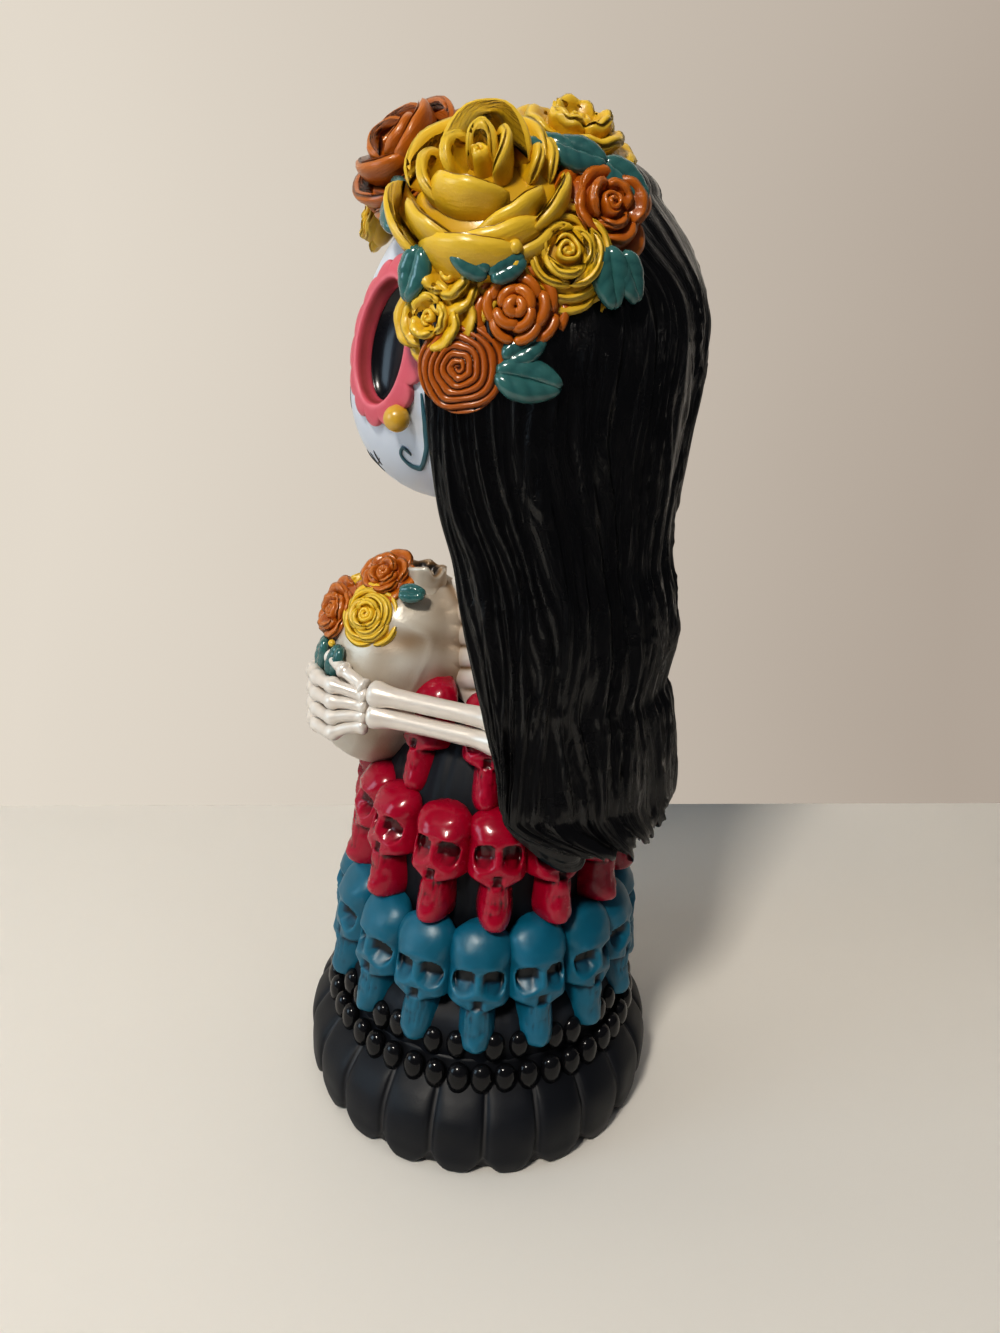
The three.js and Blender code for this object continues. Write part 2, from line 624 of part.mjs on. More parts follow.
// Whether a corner can be drawn along an edge onto its neighbour: the skin stays closed, no face turns over,
// and nothing moves further than the tolerance.
function canDraw(points, faces, around, from, onto, tolerance) {
  const beside = (i) => new Set([...around[i]].flatMap((f) => faces[f]));
  const shared = [...beside(from)].filter((i) => i !== from && i !== onto && beside(onto).has(i));
  if (shared.length !== 2) return false;
  for (const f of around[from]) {
    const face = faces[f];
    if (face.includes(onto)) continue;
    const before = triangleOf(points, face);
    const after = triangleOf(points, face.map((i) => (i === from ? onto : i)));
    if (isSliver(before)) continue;
    const plane = before.getPlane(new THREE.Plane());
    if (isSliver(after) || Math.abs(plane.distanceToPoint(points[onto])) > tolerance) return false;
    if (after.getNormal(new THREE.Vector3()).dot(plane.normal) < 0.3) return false;
  }
  return true;
}

// The joins leave slivers and corners that nothing turns on: these are drawn onto their neighbours.
function thinned(points, faces, tolerance) {
  const around = points.map(() => new Set());
  faces.forEach((face, f) => face.forEach((i) => around[i].add(f)));
  for (const allowed of [tolerance / 8, tolerance / 2, tolerance]) {
    for (let from = 0; from < points.length; from++) {
      const neighbours = [...new Set([...around[from]].flatMap((f) => faces[f]))].filter((i) => i !== from);
      neighbours.sort((a, b) => points[a].distanceTo(points[from]) - points[b].distanceTo(points[from]));
      const onto = neighbours.find((i) => canDraw(points, faces, around, from, i, allowed));
      if (onto === undefined) continue;
      for (const f of around[from]) {
        if (faces[f].includes(onto)) {
          faces[f].forEach((i) => i !== from && around[i].delete(f));
          faces[f] = null;
        } else {
          faces[f] = faces[f].map((i) => (i === from ? onto : i));
          around[onto].add(f);
        }
      }
      around[from].clear();
    }
  }
  return faces.filter((face) => face !== null);
}

function meshOf(solid, name, colour) {
  const { vertProperties, triVerts } = solid.getMesh();
  const points = [];
  for (let i = 0; i < vertProperties.length; i += 3) points.push(vector(vertProperties.subarray(i, i + 3)));
  const faces = [];
  for (let i = 0; i < triVerts.length; i += 3) faces.push([...triVerts.subarray(i, i + 3)]);
  const kept = thinned(points, outerFaces(points, faces), THINNING);
  const geometry = new THREE.BufferGeometry().setFromPoints(points);
  geometry.setIndex(kept.flat());
  geometry.computeVertexNormals();
  const material = new THREE.MeshStandardMaterial({ color: colour, roughness: 0.4, metalness: 0 });
  const mesh = new THREE.Mesh(geometry, material);
  mesh.name = name;
  return mesh;
}

const catrina = new THREE.Group();
catrina.add(meshOf(figure(), "catrina_figure", 0x2a2c30));

export default catrina;
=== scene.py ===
# A painted resin catrina, about 24 cm tall, on a pale table.
# Sizes are in millimetres and are turned into metres where each mesh is made. She faces -Y, her left is +X.
import itertools
import bpy
import numpy as np
from mathutils import Matrix, Vector


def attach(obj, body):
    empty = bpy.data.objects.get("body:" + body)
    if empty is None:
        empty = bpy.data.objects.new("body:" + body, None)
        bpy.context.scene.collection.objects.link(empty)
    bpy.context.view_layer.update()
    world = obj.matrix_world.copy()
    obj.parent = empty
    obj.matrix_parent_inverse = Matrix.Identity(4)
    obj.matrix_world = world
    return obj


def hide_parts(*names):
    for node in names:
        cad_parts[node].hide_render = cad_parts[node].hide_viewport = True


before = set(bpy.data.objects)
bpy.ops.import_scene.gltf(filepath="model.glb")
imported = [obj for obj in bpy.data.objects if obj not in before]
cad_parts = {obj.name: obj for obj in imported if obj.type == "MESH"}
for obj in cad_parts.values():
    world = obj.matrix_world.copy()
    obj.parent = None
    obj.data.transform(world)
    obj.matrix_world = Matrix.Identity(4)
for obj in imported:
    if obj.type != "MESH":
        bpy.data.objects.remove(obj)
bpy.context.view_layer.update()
millimetre = 0.001

# The view, in metres, degrees and millimetres of lens: from her left and a little above, rolled slightly.
view = {
    "away": 0.240,
    "height": 0.195,
    "aside": -0.0003,
    "down": 19.0,
    "roll": 3.7,
    "lens": 27.0,
    "sensor": 36,
    "clipStart": 0.01,
}


# A camera level with her left side, tilted down and rolled.
def setCamera(values):
    camera = bpy.data.objects.new("Camera", bpy.data.cameras.new("Camera"))
    bpy.context.scene.collection.objects.link(camera)
    down = np.radians(values["down"])
    back = Vector((np.cos(down), 0, np.sin(down)))
    up = Vector((-np.sin(down), 0, np.cos(down)))
    turn = Matrix((Vector((0, 1, 0)), up, back)).transposed()
    place = Matrix.Translation((values["away"], values["aside"], values["height"]))
    camera.matrix_world = place @ turn.to_4x4() @ Matrix.Rotation(np.radians(values["roll"]), 4, "Z")
    camera.data.lens = values["lens"]
    camera.data.sensor_width = values["sensor"]
    camera.data.clip_start = values["clipStart"]
    bpy.context.scene.camera = camera


setCamera(view)


# Directions of length 1.
def unit(vectors):
    return vectors / np.maximum(np.linalg.norm(vectors, axis=-1, keepdims=True), 1e-9)


# Lengths of vectors.
def lengthOf(vectors):
    return np.linalg.norm(vectors, axis=-1)


# The value a share of the way from low to high.
def between(low, high, share):
    return low + (high - low) * share


# From 0 at low to 1 at high, with no kink at either end.
def ease(low, high, value):
    share = np.clip((value - low) / (high - low), 0, 1)
    return share * share * (3 - 2 * share)


# A bell: 1 where the value is 0, and a third of that a width away.
def hill(value, width):
    return np.exp(-((value / width) ** 2))


# Equal steps once round, in radians, as one row.
def around(count):
    return (np.arange(count) * 2 * np.pi / count)[None, :]


# A pair of coordinates turned by an angle, from the first towards the second.
def spun(first, second, angle):
    return first * np.cos(angle) - second * np.sin(angle), first * np.sin(angle) + second * np.cos(angle)


# Two directions square to an axis and to each other, the first of them level from side to side.
def squareTo(axis):
    across = unit(np.cross(np.array([0, 1.0, 0]), axis))
    return across, np.cross(axis, across)


# A smooth curve through given values: between two places a cubic, whose slope at a place is the mean of the
# slopes on both sides, and level where they differ in sign, so that it never overshoots.
def curveThrough(at, places, values):
    places = np.asarray(places, float)
    values = np.asarray(values, float)
    steps = np.diff(places)
    slopes = np.diff(values) / steps
    tangents = np.concatenate([slopes[:1], (slopes[1:] + slopes[:-1]) / 2, slopes[-1:]])
    level = slopes[1:] * slopes[:-1] <= 0
    tangents[1:-1][level] = 0
    at = np.clip(at, places[0], places[-1])
    span = np.clip(np.searchsorted(places, at, side="right") - 1, 0, len(steps) - 1)
    t = (at - places[span]) / steps[span]
    start = values[span] * (1 + 2 * t) * (1 - t) ** 2 + tangents[span] * steps[span] * t * (1 - t) ** 2
    return start + values[span + 1] * t * t * (3 - 2 * t) + tangents[span + 1] * steps[span] * t * t * (t - 1)


# Smooth noise from -1 to 1: seeded values on a lattice of whole numbers, eased from corner to corner.
def softNoise(seed, *axes):
    size = 32  # the lattice repeats after so many steps
    table = np.random.default_rng(seed).uniform(-1, 1, (size,) * len(axes))
    axes = np.broadcast_arrays(*axes)
    whole = [np.floor(axis).astype(int) for axis in axes]
    part = [ease(0, 1, axis - low) for axis, low in zip(axes, whole)]
    total = np.zeros(axes[0].shape)
    for corner in itertools.product((0, 1), repeat=len(axes)):
        weight = np.ones(axes[0].shape)
        for share, high in zip(part, corner):
            weight = weight * (share if high else 1 - share)
        total += weight * table[tuple((low + high) % size for low, high in zip(whole, corner))]
    return total


# A closed skin over a grid of points. Each row is a ring; the ends are closed by a pole each, or the last row
# joins the first where the skin is a hoop. Its faces are turned to point outwards.
def skinOf(points, hollow=0.0, tone=0.5, flow=None, hoop=False):
    rows, columns = points.shape[:2]
    index = np.arange(rows * columns).reshape(rows, columns)
    lower = index if hoop else index[:-1]
    upper = np.roll(index, -1, 0) if hoop else index[1:]
    quads = np.stack([lower, np.roll(lower, -1, 1), np.roll(upper, -1, 1), upper], -1).reshape(-1, 4)
    corners = points.reshape(-1, 3)
    hollow, tone = (np.broadcast_to(values, (rows, columns)).ravel() for values in (hollow, tone))
    flow = np.zeros((rows * columns, 3)) if flow is None else flow.reshape(-1, 3)
    triangles = np.zeros((0, 3), int)
    if not hoop:
        first, last = rows * columns, rows * columns + 1
        low = np.stack([np.full(columns, first), np.roll(index[0], -1), index[0]], -1)
        high = np.stack([index[-1], np.roll(index[-1], -1), np.full(columns, last)], -1)
        triangles = np.concatenate([low, high])
        corners = np.concatenate([corners, points[:1].mean(1), points[-1:].mean(1)])
        hollow, tone = (np.append(values, [values[0], values[-1]]) for values in (hollow, tone))
        flow = np.concatenate([flow, flow[:1], flow[-1:]])
    a, b, c, d = (corners[quads[:, i]] for i in range(4))
    volume = (np.cross(b, c) * a).sum() + (np.cross(c, d) * a).sum()
    a, b, c = (corners[triangles[:, i]] for i in range(3))
    volume += (np.cross(b, c) * a).sum()
    if volume < 0:
        quads, triangles = quads[:, ::-1], triangles[:, ::-1]
    return {"points": corners, "quads": quads, "triangles": triangles, "hollow": hollow,
            "tone": tone, "flow": flow}


# How far each point stands proud of its neighbours, against its own outward direction: the mean of its
# neighbours is taken from it, and what remains is measured along its normal as a share of their distance.
def standingProud(points, quads, triangles):
    count = len(points)
    normals = np.zeros((count, 3))
    faceSets = [quads, triangles] if len(triangles) else [quads]
    pairs = []
    for faces in faceSets:
        sides = faces.shape[1]
        across = points[faces[:, 2]] - points[faces[:, 0]]
        facing = np.cross(across, points[faces[:, sides - 1]] - points[faces[:, 1]])
        for i in range(sides):
            for axis in range(3):
                normals[:, axis] += np.bincount(faces[:, i], facing[:, axis], count)
            pairs.append(faces[:, [i, (i + 1) % sides]])
    pairs = np.concatenate(pairs)
    pairs = np.concatenate([pairs, pairs[:, ::-1]])
    gap = points[pairs[:, 1]] - points[pairs[:, 0]]
    number = np.maximum(np.bincount(pairs[:, 0], minlength=count), 1)
    reach = np.bincount(pairs[:, 0], lengthOf(gap), count) / number
    mean = np.stack([np.bincount(pairs[:, 0], gap[:, axis], count) / number for axis in range(3)], -1)
    proud = -(mean * unit(normals)).sum(-1) / np.maximum(reach, 1e-6)
    for _ in range(2):
        proud = 0.5 * proud + 0.5 * np.bincount(pairs[:, 0], proud[pairs[:, 1]], count) / number
    return proud


# Joins skins into one mesh and one object. Its points carry what the paint needs: relief is 0.5 on plain
# ground, less in a hollow and where a skin asks for painted shade, and more on an edge; tone differs from
# skin to skin; flow runs with the surface.
def makePiece(name, skins, finish, relief=3.0):
    starts = np.cumsum([0] + [len(skin["points"]) for skin in skins[:-1]])
    points = np.concatenate([skin["points"] for skin in skins])
    quads = np.concatenate([skin["quads"] + start for skin, start in zip(skins, starts)])
    triangles = np.concatenate([skin["triangles"] + start for skin, start in zip(skins, starts)])
    proud = np.clip(standingProud(points, quads, triangles) * relief, -0.5, 0.5)
    mesh = bpy.data.meshes.new(name)
    mesh.vertices.add(len(points))
    mesh.vertices.foreach_set("co", (points * millimetre).astype(np.float32).ravel())
    loops = np.concatenate([quads.ravel(), triangles.ravel()])
    mesh.loops.add(len(loops))
    mesh.loops.foreach_set("vertex_index", loops.astype(np.int32))
    sizes = np.concatenate([np.full(len(quads), 4), np.full(len(triangles), 3)])
    mesh.polygons.add(len(sizes))
    mesh.polygons.foreach_set("loop_start", (np.cumsum(sizes) - sizes).astype(np.int32))
    mesh.update(calc_edges=True)
    mesh.polygons.foreach_set("use_smooth", np.ones(len(sizes), bool))
    ground = 0.5 + proud - np.concatenate([skin["hollow"] for skin in skins])
    for label, values in (("relief", ground), ("tone", np.concatenate([skin["tone"] for skin in skins]))):
        layer = mesh.attributes.new(label, "FLOAT", "POINT")
        layer.data.foreach_set("value", values.astype(np.float32))
    layer = mesh.attributes.new("flow", "FLOAT_VECTOR", "POINT")
    flows = np.concatenate([skin["flow"] for skin in skins])
    layer.data.foreach_set("vector", flows.astype(np.float32).ravel())
    piece = bpy.data.objects.new(name, mesh)
    bpy.context.scene.collection.objects.link(piece)
    mesh.materials.append(finish)
    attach(piece, "root")
    print(name, 2 * len(quads) + len(triangles), "triangles")
    return piece


class Nodes:
    # Short ways to add and join the nodes of one material.
    def __init__(self, name):
        self.material = bpy.data.materials.new(name)
        self.material.use_nodes = True
        self.tree = self.material.node_tree
        self.shader = self.tree.nodes["Principled BSDF"]

    def add(self, kind, inputs=None, **settings):
        node = self.tree.nodes.new(kind)
        for key, value in settings.items():
            setattr(node, key, value)
        for key, value in (inputs or {}).items():
            self.feed(node.inputs[key], value)
        return node

    def feed(self, socket, value):
        if isinstance(value, bpy.types.NodeSocket):
            self.tree.links.new(value, socket)
        elif isinstance(value, (tuple, list)) and len(value) == 3 and socket.type == "RGBA":
            socket.default_value = (*value, 1)
        else:
            socket.default_value = value

    def math(self, operation, first, second=0.0, clamp=False):
        inputs = {0: first, 1: second}
        return self.add("ShaderNodeMath", inputs, operation=operation, use_clamp=clamp).outputs[0]

    def mix(self, share, first, second):
        return self.add("ShaderNodeMix", {0: share, 6: first, 7: second}, data_type="RGBA").outputs[2]

    def noise(self, vector, scale, detail=2.0, roughness=0.5):
        inputs = {"Vector": vector, "Scale": scale, "Detail": detail, "Roughness": roughness}
        return self.add("ShaderNodeTexNoise", inputs).outputs["Fac"]

    def attribute(self, name):
        return self.add("ShaderNodeAttribute", attribute_name=name)


# A screen colour of red, green and blue, from 0 to 255, as linear light.
def colour(red, green, blue):
    screen = np.array([red, green, blue]) / 255
    linear = np.where(screen <= 0.04045, screen / 12.92, ((screen + 0.055) / 1.055) ** 2.4)
    return tuple(float(value) for value in linear)


# What a finish has unless it says otherwise.
plainFinish = {
    "toneShare": 0.6, "blotch": 0.3, "blotchScale": 130, "ragged": 0.35,
    "washFrom": 0.02, "rubFrom": 0.08, "rubShare": 0.6,
    "grain": 0.4, "grainScale": 1500, "bump": 0.00006, "strokeTint": 0.6,
    "roughSpread": 0.25, "metallic": 0.0, "specular": 0.5, "coat": 0.0, "coatRoughness": 0.15,
}
# Colours are the body, its second tone, the wash in the hollows and the rubbed edges, as seen on a screen.
# Deep is painted shade for the deepest places, and stroke is the height of brush marks or strands.
finishes = {
    "hemCharcoal": {
        "colours": [(14, 15, 18), (12, 17, 28), (62, 62, 64), (50, 51, 54)],
        "wash": 2.2, "rub": 1.4, "rubShare": 0.4, "washFrom": 0.1, "roughness": 0.52, "blotch": 0.5,
        "grain": 0.5, "blotchScale": 70, "specular": 0.35,
    },
    "beadBlack": {
        "colours": [(9, 9, 11), (13, 14, 17), (8, 8, 9), (42, 42, 46)],
        "wash": 1.0, "rub": 0.8, "roughness": 0.22, "coat": 0.3, "specular": 0.2, "coatRoughness": 0.1,
    },
    "coreNavy": {
        "colours": [(14, 15, 19), (19, 23, 31), (10, 11, 14), (60, 66, 76)],
        "wash": 1.5, "rub": 1.5, "roughness": 0.55, "blotch": 0.6, "specular": 0.25,
    },
    "skullBlue": {
        "colours": [(0, 86, 108), (0, 98, 126), (3, 42, 62), (30, 130, 160)],
        "wash": 2.6, "rub": 2.0, "rubShare": 0.3, "roughness": 0.42, "blotch": 0.45, "blotchScale": 160,
        "coat": 0.1, "coatRoughness": 0.3, "deep": (3, 12, 18),
    },
    "skullRed": {
        "colours": [(150, 0, 36), (160, 4, 50), (66, 3, 12), (196, 36, 64)],
        "wash": 2.4, "rub": 1.8, "rubShare": 0.2, "roughness": 0.26, "blotch": 0.4, "blotchScale": 160,
        "coat": 0.4, "coatRoughness": 0.12, "deep": (70, 2, 12), "specular": 0.3,
    },
    "hairBlack": {
        "colours": [(6, 5, 6), (9, 8, 9), (3, 3, 4), (20, 19, 19)],
        "wash": 1.2, "rub": 1.0, "rubShare": 0.25, "roughness": 0.3, "roughSpread": 0.3, "coat": 0.55,
        "coatRoughness": 0.09, "stroke": 1.6, "strokeTint": 0.1, "strokeScale": (2.4, 0.11, 1.0),
        "bump": 0.0003, "toneShare": 0.8, "blotch": 0.2, "specular": 0.2,
    },
    "faceWhite": {
        "colours": [(206, 214, 226), (200, 208, 222), (150, 152, 160), (230, 236, 244)],
        "wash": 0.8, "rub": 0.5, "roughness": 0.38, "coat": 0.25, "coatRoughness": 0.25, "blotch": 0.35,
        "blotchScale": 60, "grain": 0.25,
    },
    # its wash colour paints the brown shade on the wall inside each frame, and the creases between its petals
    "framePink": {
        "colours": [(206, 92, 108), (196, 80, 96), (128, 52, 44), (232, 140, 150)],
        "wash": 2.4, "rub": 1.6, "roughness": 0.42, "washFrom": 0.14,
    },
    "eyeBlack": {
        "colours": [(12, 12, 16), (22, 22, 30), (4, 4, 6), (34, 34, 44)],
        "wash": 0.5, "rub": 0.5, "roughness": 0.26, "coat": 0.15, "coatRoughness": 0.04,
        "roughSpread": 0.1, "grain": 0.2, "specular": 0.35,
    },
    "lineTeal": {
        "colours": [(38, 92, 104), (30, 78, 92), (24, 60, 70), (60, 118, 128)],
        "wash": 0.6, "rub": 0.5, "roughness": 0.4,
    },
    "lineBlack": {
        "colours": [(18, 20, 24), (34, 38, 44), (10, 10, 12), (60, 64, 70)],
        "wash": 0.6, "rub": 0.5, "roughness": 0.4,
    },
    "pearlBone": {
        "colours": [(226, 218, 210), (208, 196, 182), (128, 102, 72), (238, 236, 232)],
        "wash": 1.9, "rub": 1.5, "roughness": 0.34, "metallic": 0.25, "blotch": 0.5, "blotchScale": 110,
        "coat": 0.2, "coatRoughness": 0.2,
    },
    "pearlHeart": {
        "colours": [(216, 211, 202), (200, 190, 174), (140, 108, 70), (226, 224, 220)],
        "wash": 1.8, "rub": 1.3, "roughness": 0.36, "metallic": 0.25, "blotch": 0.9, "blotchScale": 75,
        "grain": 0.9, "coat": 0.15, "coatRoughness": 0.2, "deep": (40, 34, 30),
    },
    # its wash colour is partly the olive-brown of painted shade in the creases, and its edge colour partly a
    # painted highlight on the rims
    "roseYellow": {
        "colours": [(224, 178, 24), (190, 144, 10), (112, 76, 6), (242, 216, 92)],
        "wash": 2.0, "rub": 1.7, "rubShare": 0.4, "roughness": 0.36, "coat": 0.3, "coatRoughness": 0.2,
        "blotch": 0.6, "washFrom": 0.0, "stroke": 1.2, "strokeScale": (1.6, 0.22, 1.0), "strokeTint": 0.3,
        "bump": 0.0001,
    },
    "roseOrange": {
        "colours": [(174, 92, 12), (142, 64, 3), (70, 24, 3), (214, 128, 36)],
        "wash": 2.0, "rub": 1.6, "rubShare": 0.45, "roughness": 0.32, "coat": 0.3, "coatRoughness": 0.16,
        "blotch": 0.45, "washFrom": 0.04, "stroke": 1.4, "strokeScale": (1.6, 0.22, 1.0),
        "strokeTint": 0.2, "bump": 0.00012,
    },
    "leafTeal": {
        "colours": [(38, 88, 88), (32, 72, 76), (14, 40, 46), (80, 132, 126)],
        "wash": 2.4, "rub": 1.5, "roughness": 0.2, "coat": 0.6, "coatRoughness": 0.08, "blotch": 0.4,
    },
    "dropYellow": {
        "colours": [(224, 176, 40), (170, 128, 52), (120, 84, 36), (244, 214, 110)],
        "wash": 1.4, "rub": 0.8, "roughness": 0.32, "coat": 0.4, "blotch": 0.7, "blotchScale": 260,
    },
}


# Paint on cast resin: a dark wash lies in the hollows, in places as painted shade, and proud edges are rubbed
# lighter, on the roses partly as a painted highlight. Soft blotches and a fine grain keep it from being even,
# and brush marks follow the surface where a finish asks for them.
def resinPaint(name):
    values = {**plainFinish, **finishes[name]}
    body, second, hollow, edge = (colour(*tone) for tone in values["colours"])
    nodes = Nodes(name)
    place = nodes.add("ShaderNodeTexCoord").outputs["Object"]
    relief = nodes.attribute("relief").outputs["Fac"]
    tone = nodes.attribute("tone").outputs["Fac"]
    blotch = nodes.noise(place, values["blotchScale"], 3, 0.55)
    grain = nodes.noise(place, values["grainScale"], 2, 0.6)
    uneven = nodes.math("SUBTRACT", blotch, 0.5)
    ragged = nodes.math("ADD", relief, nodes.math("MULTIPLY", uneven, values["ragged"]))
    low = nodes.math("SUBTRACT", 0.5 - values["washFrom"], ragged)
    washAndShade = nodes.math("MULTIPLY", low, values["wash"], clamp=True)
    high = nodes.math("SUBTRACT", ragged, 0.5 + values["rubFrom"])
    rubAndHighlight = nodes.math("MULTIPLY", high, values["rub"], clamp=True)
    toned = nodes.math("MULTIPLY", tone, values["toneShare"], clamp=True)
    paint = nodes.mix(toned, body, second)
    patchy = nodes.math("SUBTRACT", nodes.math("MULTIPLY", blotch, 2.4), 0.8, clamp=True)
    paint = nodes.mix(nodes.math("MULTIPLY", patchy, values["blotch"]), paint, second)
    # the wash, which in places is painted shade, and the rubbed edges, on the roses partly a painted
    # highlight
    paint = nodes.mix(washAndShade, paint, hollow)
    paint = nodes.mix(nodes.math("MULTIPLY", rubAndHighlight, values["rubShare"]), paint, edge)
    # painted shade: where the relief falls below 0 the paint turns to the deep colour
    if "deep" in values:
        shade = nodes.math("MULTIPLY", nodes.math("SUBTRACT", 0.0, relief), 3.0, clamp=True)
        paint = nodes.mix(shade, paint, colour(*values["deep"]))
    rough = nodes.math("MULTIPLY", uneven, values["roughSpread"])
    rough = nodes.math("ADD", rough, values["roughness"], clamp=True)
    height = nodes.math("MULTIPLY", grain, values["grain"])
    if "stroke" in values:
        flow = nodes.attribute("flow").outputs["Vector"]
        along = nodes.add("ShaderNodeMapping", {"Vector": flow, "Scale": values["strokeScale"]}).outputs[0]
        stroke = nodes.noise(along, 1.0, 3, 0.6)
        height = nodes.math("ADD", height, nodes.math("MULTIPLY", stroke, values["stroke"]))
        shade = nodes.math("MULTIPLY", nodes.math("SUBTRACT", stroke, 0.45), values["strokeTint"])
        paint = nodes.mix(nodes.math("MAXIMUM", shade, 0.0, clamp=True), paint, edge)
    bump = nodes.add("ShaderNodeBump", {"Height": height, "Strength": 1.0, "Distance": values["bump"]})
    nodes.feed(nodes.shader.inputs["Base Color"], paint)
    nodes.feed(nodes.shader.inputs["Roughness"], rough)
    nodes.feed(nodes.shader.inputs["Normal"], bump.outputs[0])
    for socket, key in (("Metallic", "metallic"), ("Specular IOR Level", "specular"), ("Coat Weight", "coat"),
                        ("Coat Roughness", "coatRoughness")):
        nodes.shader.inputs[socket].default_value = values[key]
    return nodes.material


skirtWidth = 1.13  # the skirt is this many times wider from side to side


# A point round the skirt. Turn is in degrees from her left side.
def onSkirt(radius, turn, height):
    angle = np.radians(turn)
    x, y, z = np.broadcast_arrays(radius * skirtWidth * np.cos(angle), radius * np.sin(angle), height)
    return np.stack([x, y, z], -1)


hem = {
    "lobes": 22,
    "columnsPerLobe": 20,
    "turn": 4.1,  # where a groove between two lobes stands
    "bulge": 1.9,
    "levels": [0.0, 5.0, 14.0, 19.8, 23.0, 26.5],
    "radii": [44.0, 44.9, 44.2, 40.6, 39.0, 37.8],
    "roundBelow": 7.4,  # height under which a lobe narrows to its rounded foot
    "footShare": 0.12,
    "fade": (18, 23),  # heights between which the lobes flatten out
    "foot": (0.8, 1.2),  # how far the lower edge is rounded in, and up to which height
    "uneven": 0.14,
    "rows": 46,
    "seed": 3,
}


# The hem: at each height the radius of a profile, and on it lobes like pillows, q from 0 in the middle of a
# lobe to 1 in the groove, that stand out by the root of 1 - q^5. Low down each lobe narrows along an arc, and
# the ring behind the lobes shows between their feet.
def hemSkin(values):
    columns = values["lobes"] * values["columnsPerLobe"]
    top = values["levels"][-1]
    side = np.linspace(0, 1, values["rows"]) ** 1.1 * top
    under, over = np.linspace(0.2, 0.985, 5), [0.9, 0.6, 0.3]
    level = np.concatenate([np.zeros(len(under)), side, np.full(len(over), top)])[:, None]
    share = np.concatenate([under, np.ones(len(side)), over])[:, None]
    onSide = share > 0.99
    turn = np.arange(columns)[None, :] * 360 / columns
    q = np.abs(2 * ((turn * values["lobes"] / 360) % 1) - 1)
    low = np.clip(1 - level / values["roundBelow"], 0, 1)
    wide = 1 - (1 - values["footShare"]) * (1 - np.sqrt(1 - low**2))
    inLobe = np.clip(1 - (q / wide) ** 5, 0, 1) ** 0.5
    fade = 1 - ease(*values["fade"], level)
    radius = curveThrough(level + 0 * turn, values["levels"], values["radii"])
    footDeep, footHigh = values["foot"]
    rim = footDeep * (1 - np.clip(level / footHigh, 0, 1)) ** 2
    reach = (radius + values["bulge"] * inLobe * fade - rim) * share
    uneven = values["uneven"] * softNoise(values["seed"], turn / 7 + 0 * level, level / 5 + 0 * turn)
    line = hill(q / wide - 0.97, 0.06) * fade * onSide
    flow = np.stack(np.broadcast_arrays(turn, level, 0 * turn), -1)
    points = onSkirt(reach + uneven * onSide, turn + values["turn"], level)
    return skinOf(points, hollow=0.26 * line, flow=flow)


beads = {
    "count": 44,
    "firstTurn": 2.6,
    "halfWidth": 2.75,
    "halfDepth": 2.15,
    "halfHeight": 3.9,
    "lower": (40.3, 23.2, 0.12),  # radius, height and lean of each row
    "upper": (38.2, 30.6, 0.1),
    "pairTurn": 4.2,  # from the middle between two chins to each bead of a pair
    "rows": 11,
    "columns": 20,
    "seed": 11,
}


# A bead: an upright egg of rings, a little wider above its middle, that leans in with the skirt.
def beadSkin(values, radius, turn, height, size, lean):
    lift = np.linspace(0.14, np.pi - 0.14, values["rows"])[:, None]
    ring = around(values["columns"])
    belly = np.sin(lift) ** 0.86 * (1 - 0.08 * np.cos(lift))
    out = values["halfDepth"] * size * belly * np.cos(ring)
    across = values["halfWidth"] * size * belly * np.sin(ring)
    up = -values["halfHeight"] * size * np.cos(lift) + 0 * ring
    out, up = spun(out, up, lean)
    x, y = spun(out, across, np.radians(turn))
    return skinOf(np.stack([x, y, up], -1) + onSkirt(radius, turn, height), tone=2 - 2 * size)


# Two rows of beads: an even lower one, and an upper one in pairs between the chins of the lowest skulls.
def beadRows(values, chinTurn, chinCount):
    draw = np.random.default_rng(values["seed"])
    skins = []
    radius, level, lean = values["lower"]
    for i in range(values["count"]):
        turn = values["firstTurn"] + i * 360 / values["count"] + draw.uniform(-0.5, 0.5)
        size = draw.uniform(0.95, 1.04)
        skins.append(beadSkin(values, radius, turn, level + draw.uniform(-0.3, 0.3), size, lean))
    radius, level, lean = values["upper"]
    for i in range(chinCount):
        middle = chinTurn + (i + 0.5) * 360 / chinCount
        for side in (-1, 1):
            turn = middle + side * values["pairTurn"] + draw.uniform(-0.5, 0.5)
            height = level + draw.uniform(-0.6, 0.6)
            skins.append(beadSkin(values, radius, turn, height, draw.uniform(0.9, 1.0), lean))
    return skins


core = {
    "levels": [24, 27, 36, 42, 60, 80, 92, 103, 113],
    "radii": [37.2, 37.9, 36.9, 31.4, 30.4, 29.3, 26.3, 20.5, 12],
    "folds": 0.35,
    "rows": 50,
    "columns": 240,
    "seed": 5,
}


# The skirt under the skulls: a profile turned round the axis, with shallow upright folds.
def coreSkin(values):
    level = np.linspace(values["levels"][0], values["levels"][-1], values["rows"])[:, None]
    turn = np.arange(values["columns"])[None, :] * 360 / values["columns"]
    radius = curveThrough(level + 0 * turn, values["levels"], values["radii"])
    broad = softNoise(values["seed"], turn / 6 + 0 * level, level / 40)
    fine = softNoise(values["seed"] + 1, turn / 2.5 + 0 * level, level / 25)
    fold = broad + 0.5 * fine
    return skinOf(onSkirt(radius + values["folds"] * fold, turn, level))


